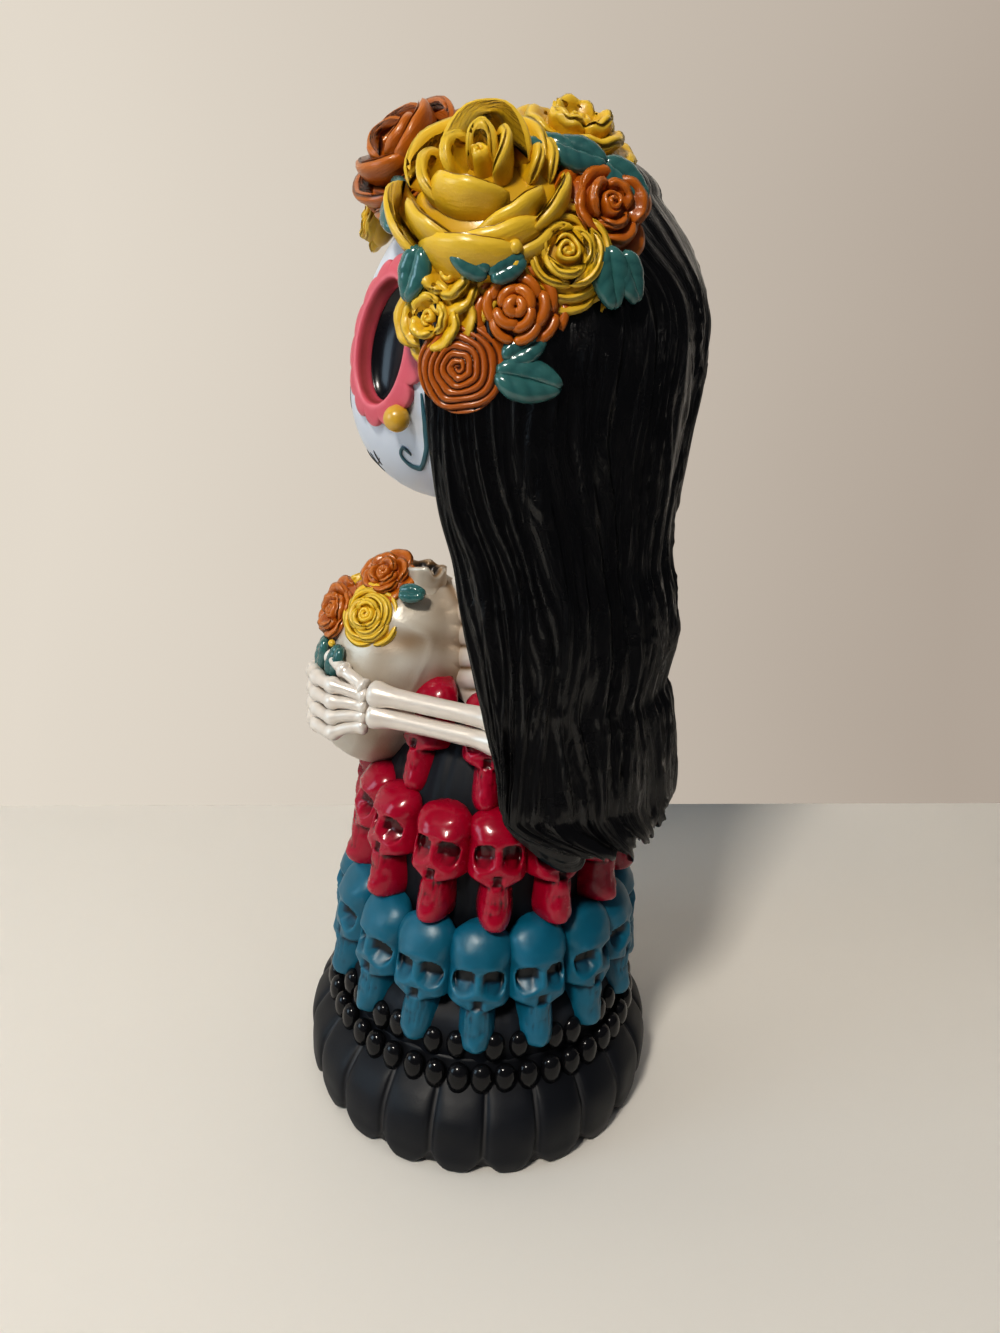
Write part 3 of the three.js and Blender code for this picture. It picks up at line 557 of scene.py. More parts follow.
# One skull, from the chin at 0 to the crown: half width, and how far its middle line stands out.
skull = {
    "levels": [0.0, 0.4, 1.3, 2.8, 4.6, 7.5, 10.2, 11.7, 12.3,
               13.0, 14.4, 17.6, 20.6, 24.6, 28.4, 31.4, 33.2, 34.0],
    "halfWidths": [2.9, 3.55, 3.95, 4.25, 4.3, 4.05, 3.8, 3.95, 5.9,
                   6.9, 7.15, 6.9, 6.75, 7.0, 6.7, 5.5, 3.6, 1.4],
    "reaches": [6.6, 8.0, 8.6, 8.8, 8.6, 8.3, 8.2, 8.1, 8.0, 7.9, 7.8, 7.5, 7.4, 7.0, 5.8, 4.2, 2.8, 1.5],
    "squareness": 2.35,
    "eye": (3.2, 18.8, 2.4, 3.35, 2.6),  # across, up, half width, half height, depth
    "nose": (12.2, 15.9, 1.25, 1.2),  # foot, top, half width, depth
    "teeth": (4.6, 12.0, 1.0, 0.4),  # lowest, highest, spacing, depth
    # smooth hills and dents: how high, how far across and how wide, how far up and how tall
    "hills": {
        "cheekbone": (0.6, 5.0, 1.6, 13.8, 1.1),
        "bridge": (0.5, 0, 0.9, 17.6, 2.2),
        "chin": (0.3, 0, 1.5, 2.4, 1.2),
        "temple": (-0.5, 6.2, 1.0, 21.5, 2.4),
        "jaw": (-0.5, 3.7, 0.9, 10.4, 1.0),
    },
    "brow": 22.2,
    "columns": 50,
    "behind": 10,  # so many of the columns close it at its back
    "rows": 54,
    "rowsAt": ([0, 0.05, 0.28, 0.8, 1], [0, 0.5, 11.2, 23.5, 34]),  # more rows where the face is
}


# A skull's face: at each height a rounded section through the half width and the reach, and on it the
# sockets, nose, brow, cheekbones and teeth as hollows and hills over across and up.
def skullShape(values, seed):
    columns, rows, closing = values["columns"], values["rows"], values["behind"]
    front = np.linspace(-1, 1, columns - closing)
    behind = np.linspace(1, -1, closing + 2)[1:-1]
    up = np.interp(np.linspace(0, 1, rows), *values["rowsAt"])[:, None] + 0 * np.arange(columns)[None, :]
    half = curveThrough(up, values["levels"], values["halfWidths"])
    reach = curveThrough(up, values["levels"], values["reaches"])
    power = 2 / values["squareness"]
    angle = np.pi / 2 * np.sign(front) * np.abs(front) ** 0.92
    share = np.concatenate([np.sign(angle) * np.abs(np.sin(angle)) ** power, behind * 0.96])[None, :]
    stand = np.concatenate([np.abs(np.cos(angle)) ** power, np.zeros(closing)])[None, :]
    deep = np.concatenate([np.zeros(columns - closing), -3.0 * (1 - behind**2) - 0.8])[None, :]
    across = half * share
    out = reach * stand + deep
    isFront = (stand > 0.02) + 0 * up
    hills = {
        part: high * hill(np.abs(across) - side, wide) * hill(up - level, tall)
        for part, (high, side, wide, level, tall) in values["hills"].items()
    }
    # the sockets: rounded squares that hang a little outwards, with a steep roof and a floor that climbs to a
    # fine rim below; their upper part is painted dark, as painted shade under the roof
    middle, level, wide, tall, depth = values["eye"]
    x = (np.abs(across) - middle) / wide
    z = (up - level + 0.2 * (np.abs(across) - middle)) / tall
    r = (np.abs(x) ** 2.4 + np.abs(z) ** 2.4) ** (1 / 2.4) + 0.05 * softNoise(seed + 6, across / 3, up / 3)
    pit = (1 - ease(between(0.8, 0.86, ease(-0.6, 0.6, z)), 1.05, r)) * (z < 1.2)
    floor = ease(-1.15, -0.1, z)
    rim = 0.3 * hill(r - 1.14, 0.13) * (1 - ease(-0.2, 0.6, z))
    brow = 0.3 * hill(z - 1.35, 0.3) * hill(x, 1.1)
    shade = pit * ease(-0.34, -0.08, z)
    # the nose: an upside-down heart, wide at its foot, with a fine bridge between its halves
    foot, top, noseWide, noseDeep = values["nose"]
    height = np.clip((top - up) / (top - foot), 0, 1.4)
    nose = 1 - ease(0.7, 1.15, np.abs(across) / (noseWide * height**0.7 + 0.01))
    nose = nose * ease(foot - 0.6, foot + 0.1, up) * (1 - 0.6 * hill(across, 0.3) * ease(0.3, 1, height))
    # the teeth: worn upright grooves from the nose down over the mouth
    lowest, highest, spacing, toothDeep = values["teeth"]
    mouth = ease(lowest - 0.6, lowest + 1.2, up) * (1 - ease(highest - 0.5, highest + 0.4, up))
    mouth = mouth * (1 - ease(2.7, 3.6, np.abs(across)))
    wobble = 0.45 * softNoise(seed + 1, across / 1.6, up / 2.4)
    teeth = toothDeep * (0.5 + 0.5 * np.cos(2 * np.pi * (across / spacing + wobble))) ** 2
    teeth = teeth * (0.4 + 0.6 * ease(-0.3, 0.4, softNoise(seed + 3, across / 2, up / 2)))
    teeth = teeth + 0.16 * hill(up - 7.6 - 0.8 * wobble, 0.35)
    worn = 0.3 * softNoise(seed, across / 1.4, up / 1.6) * (1 - ease(11, 15, up))
    worn = worn + 0.06 * softNoise(seed + 2, across, up) + 0.22 * softNoise(seed + 4, across / 3.4, up / 3.4)
    raised = sum(hills.values()) + rim + brow + worn - mouth * teeth - noseDeep * nose
    out = out + isFront * (raised - pit * depth * floor)
    # the upper sockets get painted shade here; the nose and teeth get a wash
    hollow = 0.12 * pit + shade + 0.4 * nose + 0.2 * mouth * teeth - 0.08 * hills["jaw"]
    return out, across, up, isFront * hollow


# Chin is the height of a ring's chins, wide how much wider its skulls are than the one above, and crown the
# share of the dome that shows above the brow.
skullRings = {
    "skulls_blue": {
        "count": 16, "radius": 33.1, "chin": 30.2, "size": 1.0, "lean": 0, "turn": -0.5, "crown": 0.75,
        "wide": 1.1, "seed": 100, "finish": "skullBlue", "slot": "skull_blue",
    },
    "skulls_red": {
        "count": 14, "radius": 29.8, "chin": 60.8, "size": 0.98, "lean": 3, "turn": 3.8, "crown": 0.56,
        "wide": 1.02, "seed": 300, "finish": "skullRed", "slot": "skull_red",
    },
    "skulls_waist": {
        "count": 9, "radius": 22.8, "chin": 87.0, "size": 0.9, "lean": 6, "turn": -43, "crown": 0.72,
        "wide": 1.0, "seed": 500, "finish": "skullRed", "slot": "skull_red",
    },
}


# A ring of skulls: each stands on the skirt at its own turn, leans in a little, and shows only so much crown.
def skullRing(ring, values):
    draw = np.random.default_rng(ring["seed"])
    skins = []
    for i in range(ring["count"]):
        out, across, up, hollow = skullShape(values, ring["seed"] + 5 * i)
        across = across * ring["wide"]
        up = np.minimum(up, values["brow"]) + np.maximum(0, up - values["brow"]) * ring["crown"]
        lean = np.radians(ring["lean"] + draw.uniform(-1.5, 1.5))
        tilt = np.radians(draw.uniform(-2.5, 2.5))
        across, up = spun(across, up, tilt)
        out, up = spun(out, up, lean)
        turn = ring["turn"] + i * 360 / ring["count"]
        x, y = spun(out, across, np.radians(turn))
        foot = onSkirt(ring["radius"], turn, ring["chin"] + draw.uniform(-0.4, 0.4))
        points = np.stack([x, y, up], -1) * ring["size"] + foot
        skins.append(skinOf(points, hollow=hollow, tone=draw.uniform(0, 0.8)))
    return skins


skirtPiece = makePiece("hem_lobes", [hemSkin(hem)], resinPaint("hemCharcoal"))
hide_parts("catrina_figure")
blueRing = skullRings["skulls_blue"]
hemBeads = beadRows(beads, blueRing["turn"], blueRing["count"])
makePiece("hem_beads", hemBeads, resinPaint("beadBlack"))
makePiece("skirt_core", [coreSkin(core)], resinPaint("coreNavy"))
paints = {name: resinPaint(name) for name in ("skullBlue", "skullRed")}
for name, ring in skullRings.items():
    makePiece(name, skullRing(ring, skull), paints[ring["finish"]])
print("skirt done")


hair = {
    # level by level: height, half width, front edge, back, and how far round it closes, in degrees each way
    "levels": [(81.4, 37, 21, 40.5, 108), (79.4, 41.5, 19, 44, 112), (84, 43, 10.5, 46.8, 120),
               (92, 43, 2.8, 46.6, 122), (101, 42.5, 0.4, 45.2, 122), (110, 41.8, -2.5, 43.2, 122),
               (116, 41.7, -4, 41.0, 122), (127, 41.3, -7, 42.2, 122), (137, 41, -9.5, 40.6, 122),
               (147, 40.4, -11.5, 38.2, 122), (158, 40.5, -15, 39.0, 122), (172, 41.2, -17.5, 40.2, 122),
               (188, 41.3, -19.5, 41.2, 122), (202, 38.8, -23, 39.9, 128), (213, 33.5, -29, 35.6, 160),
               (222, 25, -23, 28, 175)],
    "crown": (0, 2, 232),
    "foot": (0, 24, 88),
    "thickness": 9,
    "rows": (18, 142),  # at the foot and above it
    "columns": 345,
    "inside": 44,
    "halfRound": 86,  # from the middle of the back to a front edge, along the outside
    # layers of locks: width, depth, how far they wave to each side, and how long a wave and a taper are
    "locks": [(11.0, 1.1, 3.6, 56, 50), (5.2, 1.1, 2.8, 30, 24),
              (2.8, 1.0, 1.8, 18, 15), (1.5, 0.5, 1.0, 11, 9)],
    "swell": 0.7,
    "seed": 26,
}


# The hair: at each level a loop runs round the back from one front edge to the other, along an ellipse and
# then straight forward, and returns inside. Locks in layers of falling width stand on its outside, each with
# the rounded hill of a sine. Smooth noise shifts them, so that they wave as they fall, and noise drawn out
# downwards tapers them at both ends.
def hairSkin(values):
    levels = np.array(values["levels"], float)
    footRows, rows = values["rows"]
    steps = np.concatenate([np.linspace(0, 2, footRows), np.linspace(2, len(levels) - 1, rows)[1:]])
    height, halfWidth, front, back, reach = (
        curveThrough(steps, range(len(levels)), levels[:, i])[:, None] for i in range(5)
    )
    middle = np.maximum(np.minimum(front + 14, 4), front)
    side = np.linspace(-1, 1, values["columns"])[None, :]
    angle = np.radians(reach) * side
    past = np.clip(np.abs(angle) - np.pi / 2, 0, None) / (np.radians(reach) - np.pi / 2)
    closed = ease(126, 150, reach)
    deep = np.where(np.cos(angle) > 0, back - middle, middle - front)
    roundX, roundY = halfWidth * np.sin(angle), middle + deep * np.cos(angle)
    sheetX = halfWidth * np.sign(angle) * (1 - 0.08 * past * past)
    sheetY = middle + (front - middle) * past
    isSheet = (past > 0) * (1 - closed)
    outerX, outerY = between(roundX, sheetX, isSheet), between(roundY, sheetY, isSheet)
    outer = np.stack([outerX, outerY, height + 0 * angle], -1)
    inward = np.linspace(1, -1, values["inside"] + 2)[None, 1:-1]
    narrow = between(1.0, 0.25, closed)
    x = (halfWidth - values["thickness"]) * narrow * np.sign(inward) * np.abs(inward) ** 0.4
    deepest = between(9.0, -4.0, ease(146, 158, height))
    y = between(between(deepest, front + 4, np.abs(inward) ** 3), middle, closed)
    inner = np.stack([x, y, height + 0 * inward], -1)
    # the way across is measured along the surface, so that the locks keep their width
    across = side * values["halfRound"] + 0 * height
    level = height + 0 * side
    out = values["swell"] * softNoise(values["seed"], across / 13, level / 27)
    groove = 0 * across
    shift = 0 * across
    for seed, (width, depth, wave, waveLength, taperLength) in enumerate(values["locks"], values["seed"] + 4):
        shift = shift + wave * softNoise(seed, across / (1.6 * width), level / waveLength)
        ridge = np.abs(np.sin(np.pi * ((across + shift) / width + 0.3 * seed))) ** 0.75
        fading = softNoise(seed + 10, (across + shift) / (0.8 * width), level / taperLength)
        taper = 0.25 + 0.75 * ease(-0.45, 0.35, fading)
        out = out + depth * taper * (ridge - 0.7)
        groove = groove + depth * taper * (1 - ridge)
    out = out * (0.35 + 0.65 * ease(0, 0.05, 1 - np.abs(side))) * between(1, 0.6, closed)
    normals = unit(np.cross(np.gradient(outer, axis=1), np.gradient(outer, axis=0)))
    outer = outer + normals * out[..., None]
    # at the foot the locks end ragged, in tips of their own
    ragged = 1 - ease(79.5, 92, level)
    tips = 1.4 * softNoise(values["seed"] + 1, across / 4.5, 0 * level) + 0.9 * out
    tips = tips + 3.5 * ease(-0.9, 0.1, np.cos(angle))
    outer[..., 2] += ragged * tips
    edge = np.stack([tips[:, -1], tips[:, 0]], 1)
    inner[..., 2] += ragged[:, :1] * between(edge[:, :1], edge[:, 1:], (1 - inward) / 2)
    ring = np.concatenate([outer, inner], 1)
    hollow = np.concatenate([0.2 * groove - 0.1 * ragged, 0.1 + 0 * inner[..., 0]], 1)
    tone = np.concatenate([ragged, ragged[:, :1] + 0 * inner[..., 0]], 1)
    flow = np.concatenate([np.stack([across + shift, level, 0 * level], -1), inner], 1)
    # it is closed below by a shallow hollow, and above by a dome that rises along a quarter of a circle
    under = np.linspace(0.2, 0.9, 8)[:, None, None]
    foot = between(np.array(values["foot"], float), ring[:1], under)
    rise = np.linspace(0, np.pi / 2, 18)[1:-1, None, None]
    crown, top = np.array(values["crown"], float), ring[-1:]
    flat = between(crown[:2], top[..., :2], np.cos(rise))
    dome = np.concatenate([flat, between(top[..., 2:], crown[2], np.sin(rise))], -1)
    points = np.concatenate([foot, ring, dome])

    def extended(grid):
        return np.concatenate([np.repeat(grid[:1], len(foot), 0), grid, np.repeat(grid[-1:], len(dome), 0)])

    return skinOf(points, hollow=extended(hollow), tone=extended(tone), flow=extended(flow))


head = {
    "widest": 178,  # height at which the face is deepest, and how far it goes on below and above
    "below": 23.5,
    "above": 51,
    "front": 38.8,
    "back": 33,
    "chinForward": 16,
    "middle": 192,
    "halfWidth": 34.5,
    "halfHeight": 37.6,
    "rows": 130,
    "columns": 224,
}
socket = {
    "turn": 34.5,
    "height": 189.3,
    "halfWidth": 8.8,
    "halfHeight": 12.8,
    "roundness": 37.5,  # radius of the face there, for the way across
    "deep": 7.4,
}


# A point of the head, in front of which turn is 0; it grows towards her left. The face is deepest at one
# height, and from there an ellipse runs down to the chin and another up to the crown.
def headPoint(turn, height):
    low = height < head["widest"]
    off = (height - head["widest"]) / np.where(low, head["below"], head["above"])
    deep = np.sqrt(np.clip(1 - off * off, 0, 1))
    middle = np.where(low, -head["chinForward"] * (1 - deep), 0)
    wide = np.sqrt(np.clip(1 - ((height - head["middle"]) / head["halfHeight"]) ** 2, 0, 1))
    ahead = np.cos(turn)
    reach = np.where(ahead > 0, head["front"] * np.abs(ahead) ** 1.2, head["back"] * ahead)
    x, y, z = np.broadcast_arrays(head["halfWidth"] * wide * np.sin(turn), middle - deep * reach, height)
    return np.stack([x, y, z], -1)


# A place on the face, and proud of it along the direction in which the face looks there.
def onFace(turn, height, proud=0.0):
    step, rise = 0.004, 0.24
    place = headPoint(turn, height)
    sideways = headPoint(turn + step, height) - headPoint(turn - step, height)
    upward = headPoint(turn, height + rise) - headPoint(turn, height - rise)
    return place + unit(np.cross(sideways, upward)) * np.asarray(proud)[..., None]


# A place by an eye, across towards her side and up from the middle of its socket. Side is 1 on her left.
def besideEye(across, up, proud, side):
    turn = side * (np.radians(socket["turn"]) + across / socket["roundness"])
    across, up, proud = np.broadcast_arrays(across, up, proud)
    return onFace(turn, socket["height"] + up, proud)


# The head: rings of the face's shape, pushed in where the two eye sockets are.
def headSkin(values):
    lowest = values["widest"] - values["below"]
    highest = values["middle"] + values["halfHeight"]
    lift = np.linspace(0.04, np.pi - 0.04, values["rows"])[:, None]
    height = between(lowest, highest, 0.5 - 0.5 * np.cos(lift))
    turn = around(values["columns"])
    turn, height = np.broadcast_arrays((turn + np.pi) % (2 * np.pi) - np.pi, height)
    across = (np.abs(turn) - np.radians(socket["turn"])) * socket["roundness"]
    r = np.hypot(across / socket["halfWidth"], (height - socket["height"]) / socket["halfHeight"])
    pit = 1 - ease(0.82, 1.1, r)
    dent = 0.5 * hill(np.abs(turn) - 0.95, 0.3) * hill(height - 172, 9)  # under each cheekbone
    return skinOf(onFace(turn, height, -socket["deep"] * pit - dent), hollow=0.05 * pit)


eyeFrame = {
    "petals": 14,
    "width": 4.6,
    "notch": 0.62,
    "proud": 1.35,
    "wall": 2.7,
    "rim": 5.4,
    "columns": 420,
    # its section: share of the width outwards, and how far it stands up from the face or down in the socket
    "section": [(1.02, -0.9), (1.02, 0.3), (1.0, 0.75), (0.965, 1.1), (0.9, 1.3), (0.75, 1.42), (0.5, 1.42),
                (0.25, 1.36), (0.1, 1.36), (0.02, 1.2), (-0.03, 0.9), (-0.04, 0.4), (-0.04, -0.2),
                (-0.05, -1.0), (-0.07, -1.9), (-0.03, -2.1), (0.3, -2.0), (0.7, -1.6)],
}


# The petalled frame round an eye: a hoop whose section is a flat plate with rounded edges and a wall that
# goes down into the socket. Its outer edge swells over each petal like the hill of a sine.
def eyeFrameSkin(values, side):
    turn = around(values["columns"]).T
    petal = np.abs(np.sin(turn * values["petals"] / 2 + 0.35)) ** 0.55
    wide = values["width"] * between(values["notch"], 1.0, petal) * (1 + 0.14 * np.cos(turn))
    share, stand = np.array(values["section"]).T[:, None, :]
    crease = 0.16 * (1 - petal) * hill(share - 0.8, 0.35)
    up = stand * values["proud"] / stand.max()
    down = stand * values["wall"] / -stand.min()
    lift = np.where(stand > 0, up, down) - crease
    out = wide * np.maximum(share, 0) + values["rim"] * np.minimum(share, 0)
    across = (socket["halfWidth"] + out) * np.cos(turn)
    up = (socket["halfHeight"] + out) * np.sin(turn)
    # painted shade: the wall that goes down into the socket is painted brown with the wash colour
    inner = ease(-0.2, 0.6, -share * 20) * (stand < 1.0)
    return skinOf(besideEye(across, up, lift, side), hollow=0.45 * inner + 0.1 * crease, hoop=True)


eyeBowl = {
    "edge": 1.9,  # how deep its edge lies, how much deeper its middle, and how thick it is
    "deep": 4.4,
    "thick": 0.7,
    "gap": 0.1,
    "columns": 72,
}


# The black bowl in an eye socket: its floor falls away from the rim like an ellipse, and it is closed behind.
def eyeBowlSkin(values, side):
    front, back = np.linspace(0.03, 0.98, 24), np.linspace(0.9, 0.1, 8)
    reach = np.concatenate([front, [1.0, 0.98], back])[:, None]
    behind = np.concatenate([np.zeros(len(front)), [0.3, 1.0], np.ones(len(back))])[:, None]
    turn = around(values["columns"])
    fall = np.sqrt(np.clip(1 - reach**2, 0, 1)) ** 0.9
    floor = -values["edge"] - values["deep"] * fall - values["thick"] * behind
    across = (socket["halfWidth"] - values["gap"]) * reach * np.cos(turn)
    up = (socket["halfHeight"] - values["gap"]) * reach * np.sin(turn)
    return skinOf(besideEye(across, up, floor + 0 * turn, side))


# A ball, slightly uneven: lift goes from its foot to its top, and turn round it.
def ballSkin(at, radius, rows=20, columns=32):
    lift = np.linspace(0.1, np.pi - 0.1, rows)[:, None]
    turn = around(columns)
    x, y, z = np.sin(lift) * np.cos(turn), np.sin(lift) * np.sin(turn), -np.cos(lift) + 0 * turn
    uneven = 1 + 0.03 * softNoise(41, 2 * x + at[0], 2 * y, 2 * z)
    return skinOf(np.array(at) + radius * uneven[..., None] * np.stack([x, y, z], -1))


# A smooth path through given points, with as many points as asked for, spaced along its length.
def smoothPath(points, count):
    points = np.asarray(points, float)
    places = np.concatenate([[0], np.cumsum(lengthOf(np.diff(points, axis=0)))])
    at = np.linspace(0, places[-1], count)
    return np.stack([curveThrough(at, places, points[:, i]) for i in range(points.shape[1])], -1)


faceRadius = 36  # turns a way across the face into an angle


# A line painted thickly on the face: a path in turn and height, and across it a low rounded section whose
# width grows and fades along the path.
def paintedLine(places, width, side, proud=0.22, count=60):
    path = smoothPath([(np.radians(turn) * faceRadius, height) for turn, height in places], count)
    along = unit(np.gradient(path, axis=0))
    across = np.stack([-along[:, 1], along[:, 0]], -1)
    share = np.linspace(0, 1, count)
    wide = width / 2 * np.clip(np.sin(np.pi * between(0.03, 0.97, share)), 0, 1) ** 0.45
    section = np.linspace(0, 2 * np.pi, 13)[None, :-1]
    place = path[:, None, :] + across[:, None, :] * (wide[:, None] * np.cos(section))[..., None]
    lift = proud * np.sin(section) * (wide[:, None] / wide.max())
    return skinOf(onFace(side * place[..., 0] / faceRadius, place[..., 1], np.maximum(lift, -0.2)))


# Places on the face are a turn in degrees and a height.
faceMarks = {
    "swirl": [(54.5, 180), (55.2, 176.8), (55.8, 172.6), (55.5, 167.4), (50.8, 163.2), (45.6, 163.9),
              (43.0, 165.9), (45.2, 167.6), (48.4, 166.2)],
    "swirlWidth": 1.25,
    "mouth": [(-1, 162.6), (4, 162.3), (9.5, 161.8), (15, 162.0), (20, 162.7), (25, 163.9)],
    "mouthWidth": 0.45,
    "stitches": [(1.5, 164.4, 160.6), (9.6, 165.0, 161.7), (16.5, 164.8, 160.4), (23.5, 165.6, 162.2)],
    "stitchWidth": 0.8,
    "nose": (177.5, 4.2),  # height and size
    "dropAt": (24.2, -25.4, 174.4),
    "dropRadius": 2.85,
}


# The nose: an upside-down heart on the front of the face, a low patch between two rounded feet and a peak.
def nosePatch(at, size):
    turn = around(72)
    reach = np.concatenate([np.linspace(0.05, 1, 14), [1.02, 0.9, 0.4]])[:, None]
    lift = np.concatenate([np.full(13, 0.16), [0.1, -0.3, -0.6, -0.6]])[:, None]
    across = size * reach * np.sin(turn) * (0.72 - 0.3 * np.cos(turn))
    up = size * reach * (np.cos(turn) * 0.95 + 0.36 * hill(turn - np.pi, 0.35) - 0.1)
    return skinOf(onFace(across / faceRadius, at + up, lift + 0 * turn))


makePiece("hair", [hairSkin(hair)], resinPaint("hairBlack"), relief=1.6)
makePiece("head", [headSkin(head)], resinPaint("faceWhite"), relief=1.0)
sides = (1, -1)  # her left, and her right
frames = [eyeFrameSkin(eyeFrame, side) for side in sides]
makePiece("eye_frames", frames, resinPaint("framePink"))
bowls = [eyeBowlSkin(eyeBowl, side) for side in sides]
makePiece("eye_bowls", bowls, resinPaint("eyeBlack"))
swirls = [paintedLine(faceMarks["swirl"], faceMarks["swirlWidth"], side) for side in sides]
makePiece("face_swirls", swirls, resinPaint("lineTeal"))
strokes = [paintedLine(faceMarks["mouth"], faceMarks["mouthWidth"], side, 0.12) for side in sides]
for turn, high, low in faceMarks["stitches"]:
    stitch = [(turn, high), (turn - 0.8, (high + low) / 2), (turn - 1.2, low)]
    strokes += [paintedLine(stitch, faceMarks["stitchWidth"], side) for side in sides]
strokes.append(nosePatch(*faceMarks["nose"]))
makePiece("face_strokes", strokes, resinPaint("lineBlack"))
x, y, z = faceMarks["dropAt"]
drops = [ballSkin((side * x, y, z), faceMarks["dropRadius"]) for side in sides]
makePiece("eye_drops", drops, resinPaint("dropYellow"))
print("head done")


# A tube along a path: rings square to it, each with its own radius, turned so that one side keeps facing up.
def tubeSkin(path, radii, columns, up=(0, 0, 1), squash=1.0, tone=0.5):
    along = unit(np.gradient(path, axis=0))
    across = unit(np.cross(along, np.array(up, float)))
    upward = np.cross(across, along)
    turn = around(columns)[..., None]
    ring = across[:, None, :] * np.cos(turn) * squash + upward[:, None, :] * np.sin(turn)
    return skinOf(path[:, None, :] + radii[:, None, None] * ring, tone=tone)


# Rounds the ends of a tube off: the share of the radius at each place along it.
def roundEnds(share, end):
    near = np.clip(np.minimum(share, 1 - share) / end, 0.02, 1)
    return np.sqrt(1 - (1 - near) ** 2)


# A long bone: a straight tube, a little slimmer in its middle, with a knob at each end.
def boneSkin(start, finish, radius, seed, knob=0.38):
    share = np.linspace(0, 1, 48)
    path = between(start, finish, share[:, None])
    shape = 1 + knob * (hill(share - 0.05, 0.09) + hill(share - 0.95, 0.09)) - 0.06 * hill(share - 0.5, 0.25)
    uneven = 1 + 0.03 * softNoise(seed, share * 9)
    return tubeSkin(path, radius * shape * uneven * roundEnds(share, 0.05), columns=28)


arm = {
    "shoulder": (24, -8.5, 143),
    "elbow": (34.5, 2, 108.5),
    "wrist": (22.5, -30.5, 109),
    "upperRadius": 3.2,
    "lowerRadius": 2.35,
    "boneGap": 5.3,  # between the two bones of the forearm
    "seed": 61,
}
hand = {
    # joints of the first finger, from the wrist to the tip; the others lie under it
    "joints": [(22.5, -30.5, 110.5), (21.6, -35.5, 111.6), (20.0, -39.4, 112), (14.0, -44.2, 111.7),
               (9.5, -45.6, 111.4), (5.5, -46, 111.2)],
    "knuckles": (0.03, 0.36, 0.62, 0.82, 0.97),  # shares of the finger's length
    "thumb": [(22.5, -31, 112.6), (19.8, -35.5, 114.8), (16.5, -38.8, 116.2), (12.5, -41, 116.8)],
    "thumbKnuckles": (0.05, 0.5, 0.93),
    "fingers": 4,
    "spacing": 4.0,
    "gather": 0.6,  # share of the spacing at the wrist
    "radius": 1.95,
}


# Points on her left, or mirrored to her right where side is -1.
def mirroredPath(points, side):
    return np.asarray(points, float) * np.array([side, 1, 1])


# A finger: a tube through its joints, thick where two bones meet and slim between them.
def fingerSkin(points, radius, knuckles, side):
    share = np.linspace(0, 1, 50)
    path = smoothPath(mirroredPath(points, side), len(share))
    shape = 0.78 + 0 * share
    for place in knuckles:
        shape = shape + 0.36 * hill(share - place, 0.05) - 0.1 * hill(share - place, 0.012)
    return tubeSkin(path, radius * shape * roundEnds(share, 0.04), columns=18, up=(0, 0.2, 1))


# An arm: one bone above the elbow, and two, one over the other, below it.
def armSkins(values, side):
    shoulder, elbow, wrist = (mirroredPath(values[key], side) for key in ("shoulder", "elbow", "wrist"))
    half = np.array([0, 0, values["boneGap"] / 2])
    return [
        boneSkin(shoulder, elbow, values["upperRadius"], values["seed"]),
        boneSkin(elbow + half, wrist + half, values["lowerRadius"], values["seed"] + 1),
        boneSkin(elbow - half, wrist - half, values["lowerRadius"], values["seed"] + 2),
    ]


# A hand: a thumb, and fingers one below the other, which spread from the wrist to the second knuckle.
def handSkins(values, side):
    skins = [fingerSkin(values["thumb"], values["radius"], values["thumbKnuckles"], side)]
    spread = np.minimum(1, values["gather"] + 0.2 * np.arange(len(values["joints"])))
    for i in range(values["fingers"]):
        points = np.array(values["joints"], float)
        points[:, 2] -= i * values["spacing"] * spread
        skins.append(fingerSkin(points, values["radius"], values["knuckles"], side))
    return skins


torso = {
    # height, half width, front and back
    "levels": [(100, 17, -11, 12), (108, 21, -13, 13), (114, 20.6, -13, 13), (122, 20, -13, 13),
               (131, 19.8, -13.2, 13), (137, 19.8, -12.2, 13), (140, 19.4, -11.2, 12), (144, 19.0, -9.2, 11),
               (149, 9, -5, 9), (163, 7, -4.5, 9)],
    "ribs": (111.0, 141.0, 5.4, 1.3),  # lowest, highest, spacing and how far they stand out
    "slope": 5.0,  # how much lower a rib is at its front
    "breastbone": 0.9,
    # the rings of the neck: the heights between which they grow, their spacing, and how far they stand out
    "neck": (147, 150, 3.6, 0.7),
    "rows": 150,
    "columns": 120,
}


# The ribcage and neck: an oval at each height, with ribs that slope down to the front, a breastbone, and the
# rings of the neck.
def torsoSkin(values):
    levels = np.array(values["levels"], float)
    height = np.linspace(levels[0, 0], levels[-1, 0], values["rows"])[:, None]
    turn = around(values["columns"])
    halfWidth, front, back = (curveThrough(height + 0 * turn, levels[:, 0], levels[:, i]) for i in (1, 2, 3))
    ahead = np.cos(turn)
    lowest, highest, spacing, depth = values["ribs"]
    slope = height + values["slope"] * np.clip(ahead, 0, 1) ** 2
    inRibs = ease(lowest - 2, lowest + 2, height) * (1 - ease(highest, highest + 3, height))
    rib = np.abs(np.sin(np.pi * slope / spacing)) ** 0.7
    bone = hill(np.sin(turn), 0.16) * (ahead > 0)
    stand = depth * (rib - 0.55) * inRibs * (1 - 0.8 * bone) + values["breastbone"] * bone * inRibs
    start, full, ringSpacing, ringDepth = values["neck"]
    neck = ease(start, full, height) * ringDepth * (np.abs(np.sin(np.pi * height / ringSpacing)) ** 0.7 - 0.5)
    middle = (front + back) / 2
    scale = 1 + (stand + neck) / halfWidth
    x = halfWidth * np.sin(turn) * scale
    y = middle - (back - front) / 2 * ahead * scale
    return skinOf(np.stack([x, y, height + 0 * turn], -1), hollow=0.3 * (1 - rib) * inRibs * (1 - bone))


